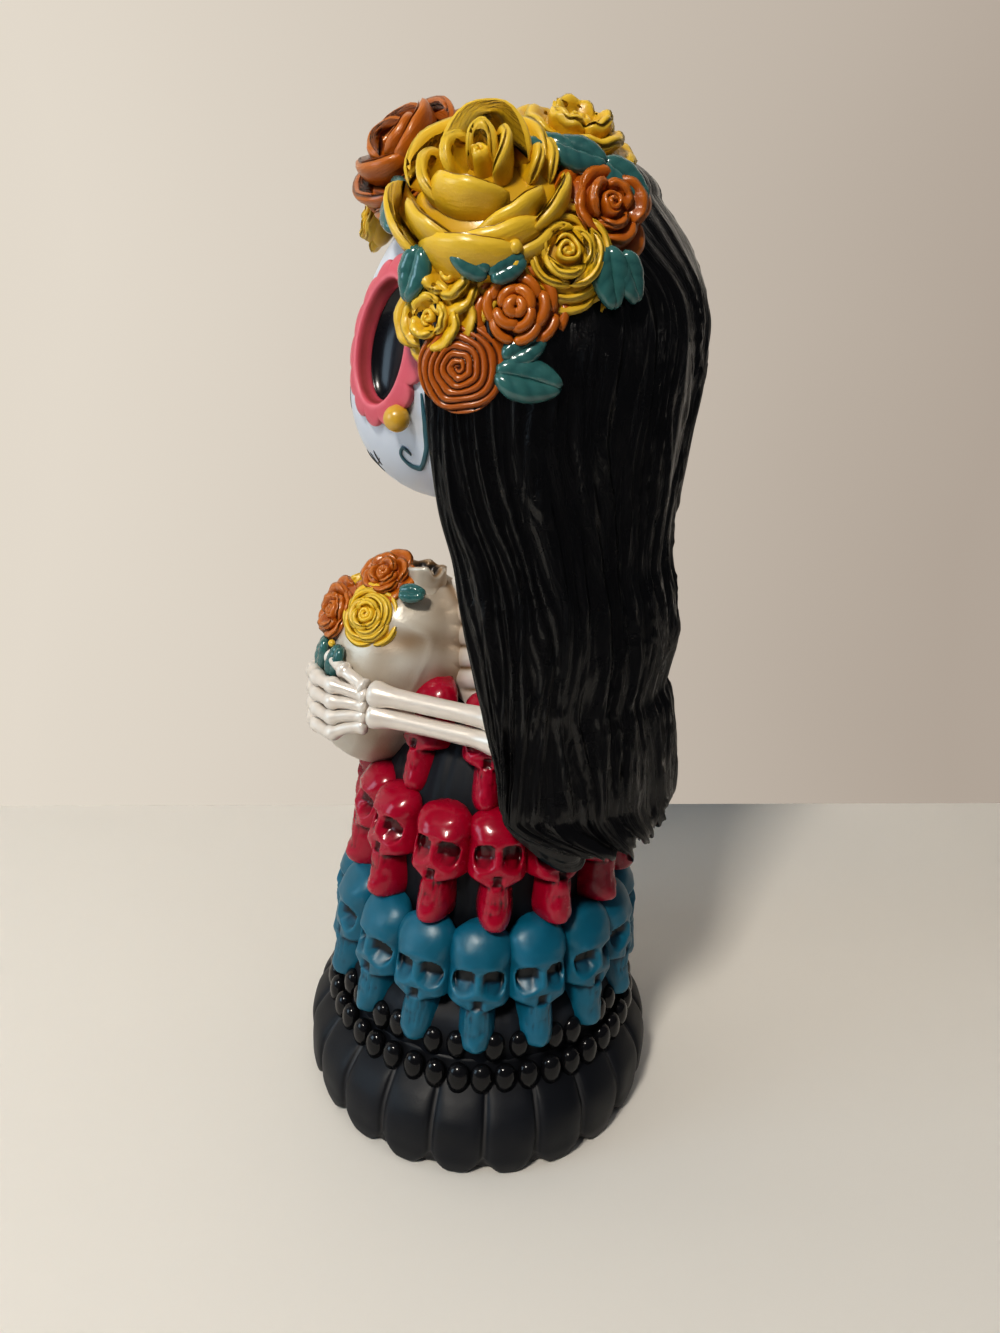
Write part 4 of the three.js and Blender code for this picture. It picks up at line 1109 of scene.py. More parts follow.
heart = {
    "tip": (0, -36.5, 86.5),
    "top": (5, -16.5, 137),
    "shares": [0.0, 0.04, 0.1, 0.26, 0.5, 0.72, 0.88, 0.97, 1.0],
    "radii": [1.5, 7.6, 11.2, 15.3, 17.8, 17.0, 12.5, 6.5, 1.5],
    "squash": 0.95,
    "crease": 0.9,  # depth of the fold, and height of the vessels and lumps
    "veins": 0.3,
    "lumps": 0.35,
    "dirt": 0.2,
    "dirtyBehind": (-37, -24),
    "vesselFrom": (7, -21, 128),
    "vesselTo": (8, -19, 138.8),
    "vesselRadius": 4.4,
    "vesselUneven": 0.12,
    "vesselTorn": 1.3,  # how far its end is from even
    "seed": 71,
}


# The heart: a fat spindle from its tip to its top, with a soft fold across its upper side, a few thin
# vessels, and tan dirt where it lies against her ribs.
def heartSkin(values):
    tip, top = np.array(values["tip"], float), np.array(values["top"], float)
    share = 0.5 - 0.5 * np.cos(np.linspace(0.02, np.pi - 0.02, 90))
    radius = curveThrough(share, values["shares"], values["radii"])
    across, outward = squareTo(unit(top - tip))
    turn = around(120)
    cos, sin, place, seed = np.cos(turn), np.sin(turn), share[:, None] + 0 * turn, values["seed"]
    fold = hill(place - 0.64 - 0.16 * np.sin(turn + 0.9), 0.06) * ease(-0.2, 0.6, np.cos(turn - 0.6))
    crease = values["crease"] * fold
    vein = softNoise(seed, 1.6 * cos + 4 * place, 1.6 * sin + 9, 3 * place)
    vein = values["veins"] * hill(np.abs(vein), 0.07)
    lumps = values["lumps"] * softNoise(seed + 1, 2.2 * cos, 2.2 * sin, 7 * place)
    reach = radius[:, None] - crease + vein + lumps
    ring = across * (cos * values["squash"])[..., None] + outward * sin[..., None]
    points = tip + (top - tip) * share[:, None, None] + ring * reach[..., None]
    dirt = values["dirt"] * ease(0.3, 1, softNoise(seed + 2, 2 * cos, 2 * sin, 5 * place))
    inner = ease(*values["dirtyBehind"], points[..., 1])
    inner = inner * (0.6 + 0.6 * softNoise(seed + 3, 3 * cos, 3 * sin, 12 * place))
    # painted shade: the fold is darkened; the dirt and the tan by her ribs are stains
    return skinOf(points, hollow=0.18 * crease + dirt + 0.4 * inner)


# The stump of a vessel: a tube that flares at its foot and is open at its end, with a rim and a dark bore.
def vesselSkin(values):
    start, finish = np.array(values["vesselFrom"], float), np.array(values["vesselTo"], float)
    # up the outside, over the rim and down the bore
    share = np.concatenate([np.linspace(0, 1, 24), [1.03, 1.04, 1.02], np.linspace(0.98, 0.7, 10)])
    flared = np.concatenate([np.linspace(1.75, 1.12, 18), np.linspace(1.12, 1.16, 6)])
    radius = np.concatenate([flared, [1.1, 0.98, 0.82], np.linspace(0.7, 0.3, 10)])
    hollow = np.concatenate([np.linspace(0.05, 0.3, 24), [0.5, 0.7, 0.8], np.full(10, 0.9)])
    along = unit(finish - start)
    across, outward = squareTo(along)
    turn = around(48)
    cos, sin, seed = np.cos(turn), np.sin(turn), values["seed"] + 4
    uneven = 1 + values["vesselUneven"] * softNoise(seed, 2 * cos, 2 * sin, 4 * share[:, None])
    ring = (across * cos[..., None] + outward * sin[..., None]) * uneven[..., None]
    lift = values["vesselTorn"] * softNoise(seed + 1, 2 * cos, 2 * sin) * ease(0.7, 1, share)[:, None]
    points = start + along * (share[:, None] * np.linalg.norm(finish - start) + lift)[..., None]
    points = points + ring * (radius * values["vesselRadius"])[:, None, None]
    return skinOf(points, hollow=hollow[:, None])


bonePaint = resinPaint("pearlBone")
makePiece("ribcage", [torsoSkin(torso)], bonePaint)
makePiece("arm_bones", [skin for side in sides for skin in armSkins(arm, side)], bonePaint)
makePiece("hands", [skin for side in sides for skin in handSkins(hand, side)], bonePaint)
makePiece("heart", [heartSkin(heart), vesselSkin(heart)], resinPaint("pearlHeart"), relief=2.0)
print("body done")


# Puts points made about an origin, with their front along +Z, in their place: faces is the way the front
# looks, and up the way the top points.
def placed(points, at, faces, up=(0, 0, 1)):
    z = unit(np.array(faces, float))
    x = unit(np.cross(np.array(up, float), z))
    y = np.cross(z, x)
    return points @ np.stack([x, y, z]) + np.array(at, float)


# A closed sheet over a grid of points: its front and its back lie half a thickness to either side, and meet
# in a rim. Thick is the thickness at each point.
def sheetSkin(points, thick, tone=0.5, hollow=0.0, flow=None):
    across = np.gradient(points, axis=1)
    along = np.gradient(points, axis=0)
    facing = unit(np.cross(across, along))
    half = facing * (thick / 2)[..., None]
    ring = np.concatenate([points + half, (points - half)[:, ::-1]], 1)
    hollow = np.broadcast_to(hollow, thick.shape)
    if flow is not None:
        flow = np.concatenate([flow, flow[:, ::-1]], 1)
    return skinOf(ring, tone=tone, hollow=np.concatenate([hollow, hollow[:, ::-1]], 1), flow=flow)


petalShape = {
    "rows": 13,
    "columns": 16,
    "corners": 0.24,  # share by which they are shorter than the middle
    "curls": (0.72, 0.28),  # from which share of its length, and over how much of it
    "sinks": 0.55,  # how far a rim falls as it curls
    "dents": 0.02,
    "rimThick": 0.5,  # how much thicker it is at its rim and at its foot
    "footThick": 2.4,
}


# A petal of a rose, in shares of the rose's radius: up its middle a curve from foot over belly to rim,
# carried round the rose's axis by u from -1 to 1. Its corners are rounded by shortening it where |u| is
# large, its rim curls outwards, and slant raises one side of it and lowers the other.
def petalSkin(values, petal, radius, thick, wave, tone, seed):
    turn, foot, belly, rim, halfAngle, curl, lift, slant = petal
    u = np.linspace(-1, 1, values["columns"])[None, :]
    v = np.linspace(0.02, 1, values["rows"])[:, None] ** 0.85
    reach = v * (1 - values["corners"] * np.abs(u) ** 2.6)
    low, middle = (1 - reach) ** 2, 2 * reach * (1 - reach)
    out, height = (low * foot[i] + middle * belly[i] + reach**2 * rim[i] for i in (0, 1))
    curlFrom, curlOver = values["curls"]
    turned = np.clip((reach - curlFrom) / curlOver, 0, 1)
    ripple = wave * (np.sin(3.2 * np.pi * u + seed) + 0.5 * softNoise(seed, 2.5 * u, 1.5 * reach)) * reach**2
    dents = values["dents"] * softNoise(seed + 1, 1.6 * u, 3 * reach)
    out = out + dents + curl * turned**2 - 0.1 * rim[0] * u * u * reach
    height = height - values["sinks"] * curl * turned**2.2 + (lift * u * u + slant * u) * reach + ripple
    angle = np.radians(turn) + u * np.radians(halfAngle) * (0.55 + 0.45 * np.sqrt(reach))
    points = radius * np.stack([out * np.cos(angle), out * np.sin(angle), height], -1)
    rounded = np.sqrt(np.clip(1 - np.abs(u) ** 6, 0.06, 1)) * np.sqrt(np.clip(1 - v**9, 0.1, 1))
    rolled = 1 + values["rimThick"] * hill(reach - 0.93, 0.12)
    # darker towards the foot and lighter on the curled rim: partly an ochre wash, partly painted shade
    # between the petals
    hollow = 0.3 * (1 - ease(0.1, 0.7, reach)) - 0.1 * turned
    sideways = radius * u * halfAngle / 60
    flow = np.stack(np.broadcast_arrays(radius * (reach + 0.06 * u * u), sideways, 0 * reach + seed), -1)
    filled = 1 + values["footThick"] * (1 - reach)
    return sheetSkin(points, thick * rounded * rolled * filled, tone=tone, hollow=hollow, flow=flow)


# The rolled heart of a rose: a sheet wound up in a spiral about its axis.
def budSkin(radius, top, low, turns, thick, seed, tone):
    share = np.linspace(0, 1, int(34 * turns))[:, None]
    v = np.linspace(0, 1, 9)[None, :]
    angle = share * turns * 2 * np.pi + seed
    out = radius * (0.16 + 0.84 * share) * (1 + 0.08 * np.sin(3 * angle + seed)) * (1 - 0.14 * v)
    height = between(low, top - 0.1 * radius * share + 0.04 * radius * np.sin(4 * angle), v)
    points = np.stack([out * np.cos(angle), out * np.sin(angle), height], -1)
    rounded = np.sqrt(np.clip(1 - v**8, 0.15, 1)) * np.clip(np.minimum(share, 1 - share) * 18, 0.2, 1)
    # darker low in the bud: partly an ochre wash, partly painted shade
    return sheetSkin(points, thick * rounded, tone=tone, hollow=0.3 * (1 - v) + 0 * share)


# The ground that a rose's petals grow from: a low dome, painted darker as shade between the petals.
def roseGround(radius, top, low, tone):
    lift = np.linspace(0.1, np.pi - 0.1, 14)[:, None]
    turn = around(30)
    out = radius * np.sin(lift)
    height = between(low, top, 0.5 - 0.5 * np.cos(lift)) + 0 * turn
    return skinOf(np.stack([out * np.cos(turn), out * np.sin(turn), height], -1), hollow=0.3, tone=tone)


# Kinds of rose. Each ring of petals: how many, then the foot, belly and rim as shares of the radius (out,
# up), half the angle that a petal takes, the curl of its rim, and how far its corners lift.
roseKinds = {
    "open": {
        "bud": (0.24, 0.56, 1.8), "thick": 0.11, "wave": 0.02, "ground": (0.8, 0.34, -0.34),
        "rings": [
            (3, (0.14, 0.05), (0.40, 0.26), (0.42, 0.56), 66, 0.06, -0.06),
            (4, (0.20, 0.00), (0.62, 0.12), (0.66, 0.42), 54, 0.10, -0.04),
            (5, (0.28, -0.16), (0.82, -0.06), (0.94, 0.14), 44, 0.14, 0.02),
        ],
    },
    "tight": {
        "bud": (0.26, 0.54, 2.0), "thick": 0.09, "wave": 0.01, "ground": (0.86, 0.38, -0.34),
        "rings": [
            (3, (0.16, 0.05), (0.42, 0.26), (0.40, 0.50), 74, 0.04, -0.03),
            (3, (0.24, 0.00), (0.60, 0.22), (0.56, 0.44), 72, 0.05, -0.03),
            (4, (0.34, -0.05), (0.78, 0.10), (0.74, 0.34), 60, 0.06, -0.03),
            (5, (0.42, -0.16), (0.92, -0.04), (0.92, 0.18), 50, 0.08, 0.0),
        ],
    },
    "loose": {
        "bud": (0.2, 0.5, 1.4), "thick": 0.12, "wave": 0.035, "ground": (0.86, 0.34, -0.4),
        "rings": [
            (3, (0.14, 0.05), (0.40, 0.30), (0.44, 0.56), 68, 0.06, -0.04),
            (3, (0.20, 0.00), (0.66, 0.16), (0.72, 0.40), 64, 0.10, -0.04),
            (4, (0.28, -0.16), (0.90, -0.02), (0.98, 0.14), 54, 0.12, 0.0),
        ],
    },
    "cup": {
        "bud": (0.2, 0.56, 1.3), "thick": 0.075, "wave": 0.008, "ground": (0.78, 0.24, -0.44),
        "rings": [
            (2, (0.12, 0.05), (0.46, 0.34), (0.40, 0.70), 84, 0.02, -0.10),
            (3, (0.20, 0.00), (0.80, 0.20), (0.66, 0.62), 76, 0.05, -0.12),
            (3, (0.26, -0.20), (1.10, -0.10), (0.96, 0.34), 74, 0.10, -0.12),
            (3, (0.30, -0.40), (1.18, -0.34), (1.04, 0.04), 70, 0.10, -0.10),
        ],
    },
    "peony": {
        "bud": (0.12, 0.62, 1.2), "thick": 0.085, "wave": 0.008, "ground": (0.84, 0.32, -0.42), "rings": [],
        # broad single petals: turn (0 is towards the back of the head, 90 up), foot, belly, rim, half angle,
        # curl, lift and slant
        "petals": [
            (80, (0.06, 0.10), (0.20, 0.40), (0.17, 0.84), 96, 0.02, -0.20, 0.0),
            (14, (0.08, 0.10), (0.34, 0.36), (0.30, 0.80), 66, 0.03, -0.16, 0.0),
            (160, (0.10, 0.10), (0.42, 0.30), (0.38, 0.68), 52, 0.03, -0.12, 0.0),
            (88, (0.12, 0.10), (0.66, 0.34), (0.52, 0.80), 82, 0.05, -0.22, 0.0),
            (192, (0.18, 0.05), (0.70, 0.18), (0.62, 0.58), 42, 0.05, -0.10, -0.04),
            (256, (0.14, 0.05), (0.78, 0.14), (0.42, 0.68), 66, 0.05, -0.14, 0.02),
            (18, (0.16, 0.05), (0.58, 0.20), (0.64, 0.52), 27, 0.03, -0.16, 0.0),
            (36, (0.20, 0.00), (0.80, 0.10), (0.80, 0.38), 32, 0.04, -0.14, 0.0),
            (66, (0.18, 0.05), (0.80, 0.22), (0.80, 0.44), 46, 0.06, -0.12, 0.0),
            (312, (0.20, 0.00), (0.92, 0.00), (0.62, 0.40), 46, 0.05, -0.12, 0.10),
            (138, (0.22, -0.05), (0.96, 0.12), (0.94, 0.44), 54, 0.07, -0.12, 0.02),
            (352, (0.24, -0.20), (1.02, -0.14), (0.86, 0.30), 38, 0.06, -0.12, 0.0),
            (100, (0.24, -0.20), (1.00, 0.04), (1.00, 0.24), 46, 0.06, -0.10, 0.0),
            (268, (0.24, -0.45), (1.30, -0.42), (0.86, 0.32), 46, 0.05, -0.12, 0.0),
            (208, (0.24, -0.40), (1.24, -0.26), (1.04, 0.26), 38, 0.07, -0.10, -0.16),
            (318, (0.24, -0.45), (1.12, -0.46), (0.86, 0.06), 40, 0.06, -0.10, 0.04),
            (40, (0.24, -0.30), (1.02, -0.20), (0.88, 0.14), 44, 0.06, -0.10, 0.0),
            (290, (0.20, -0.20), (1.14, -0.22), (0.72, 0.30), 50, 0.06, -0.12, 0.05),
            (232, (0.20, -0.20), (1.10, -0.18), (0.80, 0.40), 42, 0.06, -0.12, -0.03),
        ],
    },
}


# A rose of petals in rings about a rolled bud, each ring turned against the last, and of single petals. A
# rose on her right has its single petals the other way about.
def cupRose(rose, kind, seed):
    draw = np.random.default_rng(seed)
    radius = rose["radius"]
    budRadius, budTop, turns = kind["bud"]
    groundRadius, groundTop, groundLow = (share * radius for share in kind["ground"])
    thick = rose.get("thick", kind["thick"]) * radius
    skins = [
        roseGround(groundRadius, groundTop, groundLow, draw.uniform(0, 0.6)),
        roseGround(0.8 * budRadius * radius, 0.88 * budTop * radius, 0, 0.8),
        budSkin(budRadius * radius, budTop * radius, 0.1 * radius, turns, thick, draw.uniform(0, 6), 0.2),
    ]
    start = rose.get("start", draw.uniform(0, 360))
    petals = []
    for count, foot, belly, rim, halfAngle, curl, lift in kind["rings"]:
        start += 180 / count + 20
        for i in range(count):
            size = draw.uniform(0.95, 1.05)
            turn = start + i * 360 / count + draw.uniform(-6, 6)
            rise = draw.uniform(-0.03, 0.03) + (0.05 if i % 2 else 0)
            place = [(out * size, up * size + rise) for out, up in (foot, belly, rim)]
            petals.append((turn, *place, halfAngle, curl, lift, 0.0))
    single = kind.get("petals", []) + rose.get("petals", [])
    for turn, foot, belly, rim, halfAngle, curl, lift, slant in single:
        if rose["at"][0] < 0:
            turn, slant = 180 - turn, -slant
        petals.append((turn, foot, belly, rim, halfAngle, curl, lift, slant))
    for petal in petals:
        tone, petalSeed = draw.uniform(0, 0.9), int(draw.integers(1, 9999))
        skins.append(petalSkin(petalShape, petal, radius, thick, kind["wave"], tone, petalSeed))
    return skins


# A wound rose in shares of its radius: its dome, the height of its coils and of their slant, and its depth.
coilKind = {
    "dome": 0.46,
    "coils": 0.085,
    "slant": 0.05,
    "deep": 0.72,
    "uneven": 0.15,
    "rows": (74, 8),  # in front, and under its edge
    "columns": 112,
}


# A rose wound from one strip: a dome whose height follows a spiral of rounded coils, drawn a little angular.
def coilRose(rose, kind, seed):
    radius = rose["radius"]
    rows, rowsUnder = kind["rows"]
    front, back = np.linspace(0.02, 1, rows), np.linspace(0.96, 0.3, rowsUnder)
    share = np.concatenate([front, back])[:, None]
    below = np.concatenate([np.zeros(len(front)), np.linspace(0.35, 1, len(back))])[:, None]
    turn = around(kind["columns"])
    angular = 1 + 0.045 * np.cos(3 * turn + 0.5) * share + 0.03 * np.cos(5 * turn + 1 + 3 * share)
    uneven = kind["uneven"] * softNoise(seed, 3 * share, 2 * np.cos(turn), 2 * np.sin(turn))
    phase = rose["coils"] * share / angular - turn / (2 * np.pi) + uneven
    coil = np.abs(np.sin(np.pi * phase)) ** 0.55 * ease(0.02, 0.12, share)
    slant = (phase % 1) - 0.5
    dome = kind["dome"] * np.sqrt(np.clip(1 - (0.93 * share) ** 2, 0, 1))
    height = dome + kind["coils"] * (coil - 0.6) + kind["slant"] * slant * (share < 0.97)
    height = height - kind["deep"] * below
    out = share * radius * (1 + 0.02 * coil)
    points = np.stack([out * np.cos(turn), out * np.sin(turn), radius * (height - 0.06)], -1)
    return [skinOf(points, hollow=0.36 * (1 - coil) * (below < 0.01) + 0 * turn, tone=0.3)]


# A rolled rose in shares of its radius: its ground, and rings of strips (how many, how far out, how high).
rolledKind = {
    "ground": (0.86, 0.34, -0.34),
    "rings": [(2, 0.13, 0.56), (4, 0.34, 0.5), (6, 0.56, 0.38), (7, 0.76, 0.22), (8, 0.93, 0.0)],
    "length": (0.52, 0.66),  # half of a strip's arc, as a share of its place in the ring
    "thick": (0.085, 0.105),
}


# A rose of many short rolled strips: fat arcs laid in rings, each a tube that tips down at its ends.
def rolledRose(rose, kind, seed):
    draw = np.random.default_rng(seed)
    radius = rose["radius"]
    skins = [roseGround(*(share * radius for share in kind["ground"]), 0.5)]
    along = np.linspace(-1, 1, 22)
    for ring, (count, share, high) in enumerate(kind["rings"]):
        for i in range(count):
            middle = 360 / count * (i + 0.5 * (ring % 2)) + draw.uniform(-8, 8)
            half = 360 / count * draw.uniform(*kind["length"])
            angle = np.radians(middle + half * along)
            out = radius * (share + 0.06 * along * draw.choice([-1, 1]) - 0.05 * along**2)
            height = radius * (high - 0.07 * along**2 + draw.uniform(-0.03, 0.03))
            path = np.stack([out * np.cos(angle), out * np.sin(angle), height], -1)
            thick = radius * draw.uniform(*kind["thick"]) * roundEnds((along + 1) / 2, 0.2)
            skins.append(tubeSkin(path, thick, columns=10, squash=1.15, tone=draw.uniform(0, 0.9)))
    return skins


# Any rose, in its place.
def roseSkins(rose, seed):
    if rose["kind"] == "coil":
        skins = coilRose(rose, coilKind, seed)
    elif rose["kind"] == "rolled":
        skins = rolledRose(rose, rolledKind, seed)
    else:
        skins = cupRose(rose, roseKinds[rose["kind"]], seed)
    for skin in skins:
        skin["points"] = placed(skin["points"], rose["at"], rose["faces"])
    return skins


# Each rose: its kind, the middle of it, the way it faces and its radius. Start turns its rings, thick
# replaces the thickness of its kind, and petals adds single ones.
yellowRoses = [
    {"kind": "peony", "at": (31, -8.4, 217), "faces": (0.68, -0.18, 0.71), "radius": 17.2},
    {"kind": "tight", "at": (35, 6.4, 207), "faces": (0.95, 0.15, 0.25), "radius": 11.4,
     "petals": [(288, (0.3, -0.25), (1.0, -0.2), (1.14, -0.04), 40, 0.04, -0.04, 0.08)]},
    {"kind": "loose", "at": (35.4, -13.2, 202.6), "faces": (0.9, -0.4, 0.15), "radius": 10.4, "start": 0},
    {"kind": "loose", "at": (36, -16.3, 194.6), "faces": (0.85, -0.5, 0.1), "radius": 8.6, "start": 40},
    {"kind": "loose", "at": (15, 7, 229), "faces": (0.45, 0.2, 0.85), "radius": 13, "start": 10},
    {"kind": "open", "at": (-12, 4, 231), "faces": (-0.25, 0.2, 0.93), "radius": 12},
    {"kind": "loose", "at": (-8, -33, 216), "faces": (-0.1, -0.95, 0.3), "radius": 7.8, "start": 20},
    {"kind": "peony", "at": (-31.5, -8, 217), "faces": (-0.7, -0.15, 0.7), "radius": 16.5},
    {"kind": "tight", "at": (-38.5, -2, 197.5), "faces": (-1, -0.05, 0.1), "radius": 9.5},
]
orangeRoses = [
    {"kind": "open", "at": (30.5, 13.5, 216), "faces": (0.85, 0.35, 0.3), "radius": 10.2},
    {"kind": "rolled", "at": (38.4, -1.5, 197), "faces": (1, -0.05, 0.1), "radius": 9.6},
    {"kind": "coil", "at": (39.4, -11.2, 186.2), "faces": (0.98, -0.2, 0.05), "radius": 8.5, "coils": 6},
    {"kind": "cup", "at": (5.5, -25.6, 226), "faces": (0.45, -0.62, 0.64), "radius": 12.8, "start": 75,
     "thick": 0.12},
    {"kind": "rolled", "at": (-36, -17.5, 202), "faces": (-0.88, -0.45, 0.1), "radius": 9},
    {"kind": "open", "at": (-34.5, 9, 206.5), "faces": (-0.92, 0.2, 0.25), "radius": 10.5},
    {"kind": "coil", "at": (-38.2, -12.2, 187), "faces": (-0.96, -0.25, 0.05), "radius": 8.4, "coils": 6},
]
heartYellow = [
    {"kind": "tight", "at": (13.6, -31, 127.2), "faces": (0.8, -0.4, 0.45), "radius": 8.0, "thick": 0.13},
    {"kind": "loose", "at": (-9, -34.5, 128), "faces": (-0.6, -0.7, 0.4), "radius": 7},
]
heartOrange = [
    {"kind": "open", "at": (8, -28, 135.2), "faces": (0.6, -0.35, 0.72), "radius": 7.6, "thick": 0.15},
    {"kind": "open", "at": (5, -38.5, 125), "faces": (0.5, -0.8, 0.35), "radius": 9.6, "thick": 0.13},
]
# Each berry: its middle and its radius.
berries = [((43, -2.5, 208), 1.4), ((42.6, -2.2, 205.2), 1.2), ((14.5, -40.5, 120.5), 0.9)]


# The skins of several roses, each with random draws of its own.
def gathered(roses, firstSeed):
    return [skin for i, rose in enumerate(roses) for skin in roseSkins(rose, firstSeed + 17 * i)]


yellowPaint, orangePaint = resinPaint("roseYellow"), resinPaint("roseOrange")
makePiece("crown_yellow_roses", gathered(yellowRoses, 700), yellowPaint)
makePiece("crown_orange_roses", gathered(orangeRoses, 900), orangePaint)
makePiece("heart_yellow_roses", gathered(heartYellow, 1100), yellowPaint)
makePiece("heart_orange_roses", gathered(heartOrange, 1200), orangePaint)
berrySkins = [ballSkin(at, radius, rows=12, columns=16) for at, radius in berries]
makePiece("berries", berrySkins, yellowPaint)
print("roses done")

# Each leaf: where its stalk is, the way its tip points, the way its face looks, and its length.
leaves = [
    ((37, -20, 206), (0.1, -0.35, -0.9), (0.8, -0.6, 0.1), 10),
    ((42, -8, 203.5), (0.1, -0.85, 0.5), (1, 0, 0.1), 8),
    ((42, -6, 203), (0.1, 0.85, 0.5), (1, 0, 0.1), 7),
    ((36.5, 14.5, 208), (0.1, 0.25, -0.95), (0.9, 0.4, 0.1), 11),
    ((35.5, 17.5, 207.5), (0, 0.5, -0.85), (0.85, 0.5, 0.1), 9.5),
    ((40.6, -2.5, 188.4), (0.05, 0.75, 0.5), (1, 0.1, 0.1), 9),
    ((40.9, -3.4, 185.4), (0.05, 0.97, -0.14), (1, 0.1, 0.1), 13),
    ((30, 6, 225), (0.25, -0.75, 0.5), (0.8, 0.1, 0.6), 9),
    ((29.5, 4, 226), (0.2, 0.95, -0.1), (0.75, 0.1, 0.65), 11),
    ((28.5, 13.5, 223.5), (0.1, 0.9, -0.4), (0.75, 0.35, 0.55), 11),
    ((15, -27, 219), (0.8, -0.3, -0.45), (0.5, -0.8, 0.4), 13),
    ((-15, -27, 219), (-0.85, -0.2, -0.3), (-0.4, -0.8, 0.5), 12),
    ((-30, -24, 209), (-0.2, -0.3, -0.9), (-0.7, -0.7, 0.1), 10),
    ((-40.5, 1, 190), (-0.1, 0.8, -0.6), (-1, 0.1, 0.1), 12),
    ((-34.5, 18, 207), (-0.1, 0.4, -0.9), (-0.85, 0.5, 0.1), 12),
    ((16, -23.6, 134.2), (0.4, 0.9, 0.1), (0.85, -0.3, 0.5), 6),
    ((15, -38, 119), (0.2, -0.55, -0.8), (0.7, -0.7, 0.2), 8),
    ((9, -42, 119), (-0.1, -0.3, -0.9), (0.3, -0.95, 0.2), 9),
]


# The form of a leaf in shares of its length, but for its thickness and how far it is lifted off its ground.
leafShape = {
    "halfWidth": 0.33,
    "fold": 0.3,
    "veins": 4,
    "veinHeight": 0.025,
    "bend": 0.2,
    "twist": 0.05,
    "stalk": 0.12,
    "lifted": 0.3,
    "thick": 2.2,
    "rows": 20,
    "columns": 17,
}


# A leaf: v from its stalk to its tip and u across, widest before the middle, folded along its rib, with side
# veins as shallow waves, and a blade that bends back at its tip.
def leafSkin(values, at, tip, faces, length, seed):
    u = np.linspace(-1, 1, values["columns"])[None, :]
    v = np.linspace(0, 1, values["rows"])[:, None]
    half = values["halfWidth"] * length * np.sin(np.pi * np.clip(v, 0.015, 0.985) ** 0.85) ** 0.6
    rib = values["fold"] * np.abs(u) ** 0.7 * (1 - np.abs(u) ** 1.5)
    wave = np.cos(2 * np.pi * (values["veins"] * v - 1.3 * np.abs(u)))
    veins = values["veinHeight"] * wave * np.abs(u) * (1 - u * u)
    bend = -values["bend"] * (v - 0.4) ** 2 + values["twist"] * np.sin(seed + 5 * v) * u
    height = length * (rib + veins + bend) + values["lifted"]
    points = np.stack([half * u, length * (v - values["stalk"]) + 0 * u, height], -1)
    rounded = np.sqrt(np.clip(1 - np.abs(u) ** 5, 0.1, 1)) * np.sqrt(np.clip(1 - (2 * v - 1) ** 8, 0.15, 1))
    tone = (seed * 0.37) % 1
    skin = sheetSkin(points, values["thick"] * rounded, tone=tone, hollow=0.22 * hill(u, 0.14))
    skin["points"] = placed(skin["points"], at, faces, tip)
    return skin


leafSkins = [leafSkin(leafShape, *leaf, seed) for seed, leaf in enumerate(leaves)]
makePiece("leaves", leafSkins, resinPaint("leafTeal"))
print("leaves done")

# The set, in metres. The wall line is where the wall meets the table.
stageValues = {
    "wallLine": ((-0.1157, -0.1962), (-0.1794, 0.2333)),
    "tableWidth": 2.2,
    "tableDepth": 0.42,
    "wallHeight": 1.3,
    "colours": {"table": colour(230, 226, 219), "wall": colour(229, 222, 214)},
    "cloudColour": colour(210, 205, 198),
    "cloudShare": 0.25,
    "cloudScale": 3.0,
    "roughness": 0.7,
}
roomValues = {
    "radius": 3.0,
    "columns": 48,
    "rows": 25,
    "pale": colour(211, 203, 191),
    "deep": colour(168, 157, 146),
    "middle": 0.35,  # share of the deeper colour where y is 0
    "reach": 2.8,  # way in y over which that share grows by 1
    "cloudShare": 0.3,
    "cloudScale": 0.5,
}


# A thing of the set, linked to the scene, with one material.
def stageThing(name, points, faces, nodes):
    mesh = bpy.data.meshes.new(name)
    mesh.from_pydata(points, [], faces)
    mesh.materials.append(nodes.material)
    thing = bpy.data.objects.new(name, mesh)
    bpy.context.scene.collection.objects.link(thing)
    return thing


# The table, and a wall that stands on it along a line behind her.
def setStage(values):
    first, second = (Vector((*point, 0)) for point in values["wallLine"])
    along = (second - first).normalized()
    toward = Vector((-along.y, along.x, 0))
    if toward.x < 0:
        toward = -toward
    middle, half = (first + second) / 2, along * values["tableWidth"] / 2
    reach, lift = toward * values["tableDepth"], Vector((0, 0, values["wallHeight"]))
    for name, rise in (("table", reach), ("wall", lift)):
        nodes = Nodes(name)
        place = nodes.add("ShaderNodeTexCoord").outputs["Object"]
        cloudy = nodes.noise(place, values["cloudScale"], 3, 0.6)
        share = nodes.math("MULTIPLY", cloudy, values["cloudShare"])
        paint = nodes.mix(share, values["colours"][name], values["cloudColour"])
        nodes.feed(nodes.shader.inputs["Base Color"], paint)
        nodes.shader.inputs["Roughness"].default_value = values["roughness"]
        corners = [middle - half, middle + half, middle + half + rise, middle - half + rise]
        thing = stageThing(name, [tuple(corner) for corner in corners], [(0, 1, 2, 3)], nodes)
        # the wall only gives back light, so that no view from behind it is blocked
        thing.visible_camera = name != "wall"
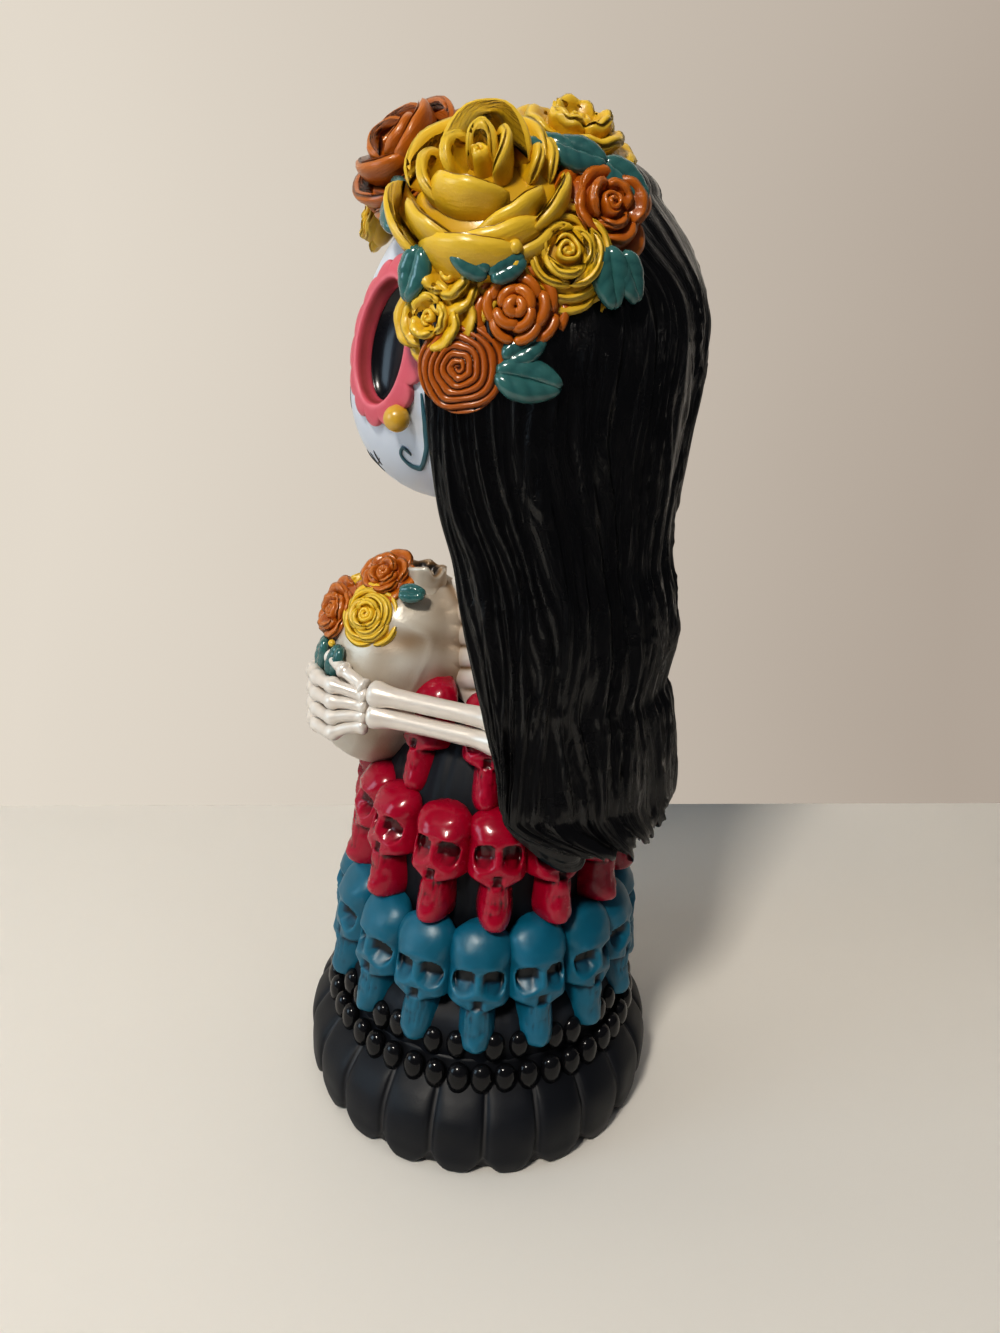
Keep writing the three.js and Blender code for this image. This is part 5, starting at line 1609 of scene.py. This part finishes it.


# The room that the camera sees instead of the wall: a wide ball, seen from inside, that lights nothing. Its
# share of the deeper colour is y / reach, plus a little noise, plus its share in the middle, from 0 to 1:
# painted shade that deepens towards +y, where the wall's light falls off and the shadow behind her lies.
def setRoom(values):
    columns, rows = values["columns"], values["rows"]
    turn = around(columns)
    rise = np.linspace(-np.pi / 2, np.pi / 2, rows)[:, None]
    flat = np.cos(rise)
    points = np.stack(np.broadcast_arrays(flat * np.cos(turn), flat * np.sin(turn), np.sin(rise)), -1)
    row, column = np.meshgrid(np.arange(rows - 1), np.arange(columns), indexing="ij")
    first, second = row * columns + column, row * columns + (column + 1) % columns
    faces = np.stack([first, first + columns, second + columns, second], -1).reshape(-1, 4)
    nodes = Nodes("room")
    place = nodes.add("ShaderNodeTexCoord").outputs["Object"]
    cloudy = nodes.math("MULTIPLY", nodes.noise(place, values["cloudScale"], 2, 0.5), values["cloudShare"])
    across = nodes.add("ShaderNodeSeparateXYZ", {0: place}).outputs["Y"]
    # painted shade: the backdrop darkens towards +y
    share = nodes.math("ADD", nodes.math("DIVIDE", across, values["reach"]), cloudy)
    share = nodes.math("ADD", share, values["middle"], clamp=True)
    nodes.feed(nodes.shader.inputs["Emission Color"], nodes.mix(share, values["pale"], values["deep"]))
    nodes.shader.inputs["Emission Strength"].default_value = 1.0
    nodes.shader.inputs["Base Color"].default_value = (0, 0, 0, 1)
    nodes.shader.inputs["Specular IOR Level"].default_value = 0
    room = stageThing("room", (points.reshape(-1, 3) * values["radius"]).tolist(), faces.tolist(), nodes)
    room.data.polygons.foreach_set("use_smooth", np.ones(len(faces), bool))
    room.visible_diffuse = room.visible_glossy = room.visible_shadow = room.visible_transmission = False


# Square lamps, in metres and watts. Shines says whether one is seen mirrored in the gloss.
lights = {
    "key": {"at": (0.62, -0.27, 0.76), "size": 0.13, "power": 5.6, "tint": (1, 0.94, 0.85), "shines": True},
    "ceiling": {"at": (0.1, 0, 1.35), "size": 1.4, "power": 2.8, "tint": (1, 1, 1), "shines": False},
    "window": {"at": (0.45, -1.05, 0.4), "size": 0.5, "power": 3, "tint": (0.62, 0.83, 1), "shines": True},
}
surroundings = {
    "aim": (0, 0, 0.12),  # where the lamps point
    "colour": (0.86, 0.9, 1.0, 1),
    "strength": 0.09,
    "transform": "Standard",
    "look": "Medium High Contrast",
}


# The lamps, the faint light from everywhere, and the way the picture is developed.
def setLights(lamps, values):
    for name, light in lamps.items():
        lamp = bpy.data.objects.new(name, bpy.data.lights.new(name, "AREA"))
        lamp.data.size = light["size"]
        lamp.data.energy = light["power"]
        lamp.data.color = light["tint"]
        lamp.location = light["at"]
        way = Vector(values["aim"]) - Vector(light["at"])
        lamp.rotation_euler = way.to_track_quat("-Z", "Y").to_euler()
        lamp.visible_glossy = light["shines"]
        bpy.context.scene.collection.objects.link(lamp)
    world = bpy.data.worlds.new("world")
    world.use_nodes = True
    background = world.node_tree.nodes["Background"].inputs
    background["Color"].default_value = values["colour"]
    background["Strength"].default_value = values["strength"]
    bpy.context.scene.world = world
    bpy.context.scene.view_settings.view_transform = values["transform"]
    bpy.context.scene.view_settings.look = values["look"]


setStage(stageValues)
setRoom(roomValues)
setLights(lights, surroundings)
print("stage done")
bpy.context.view_layer.update()
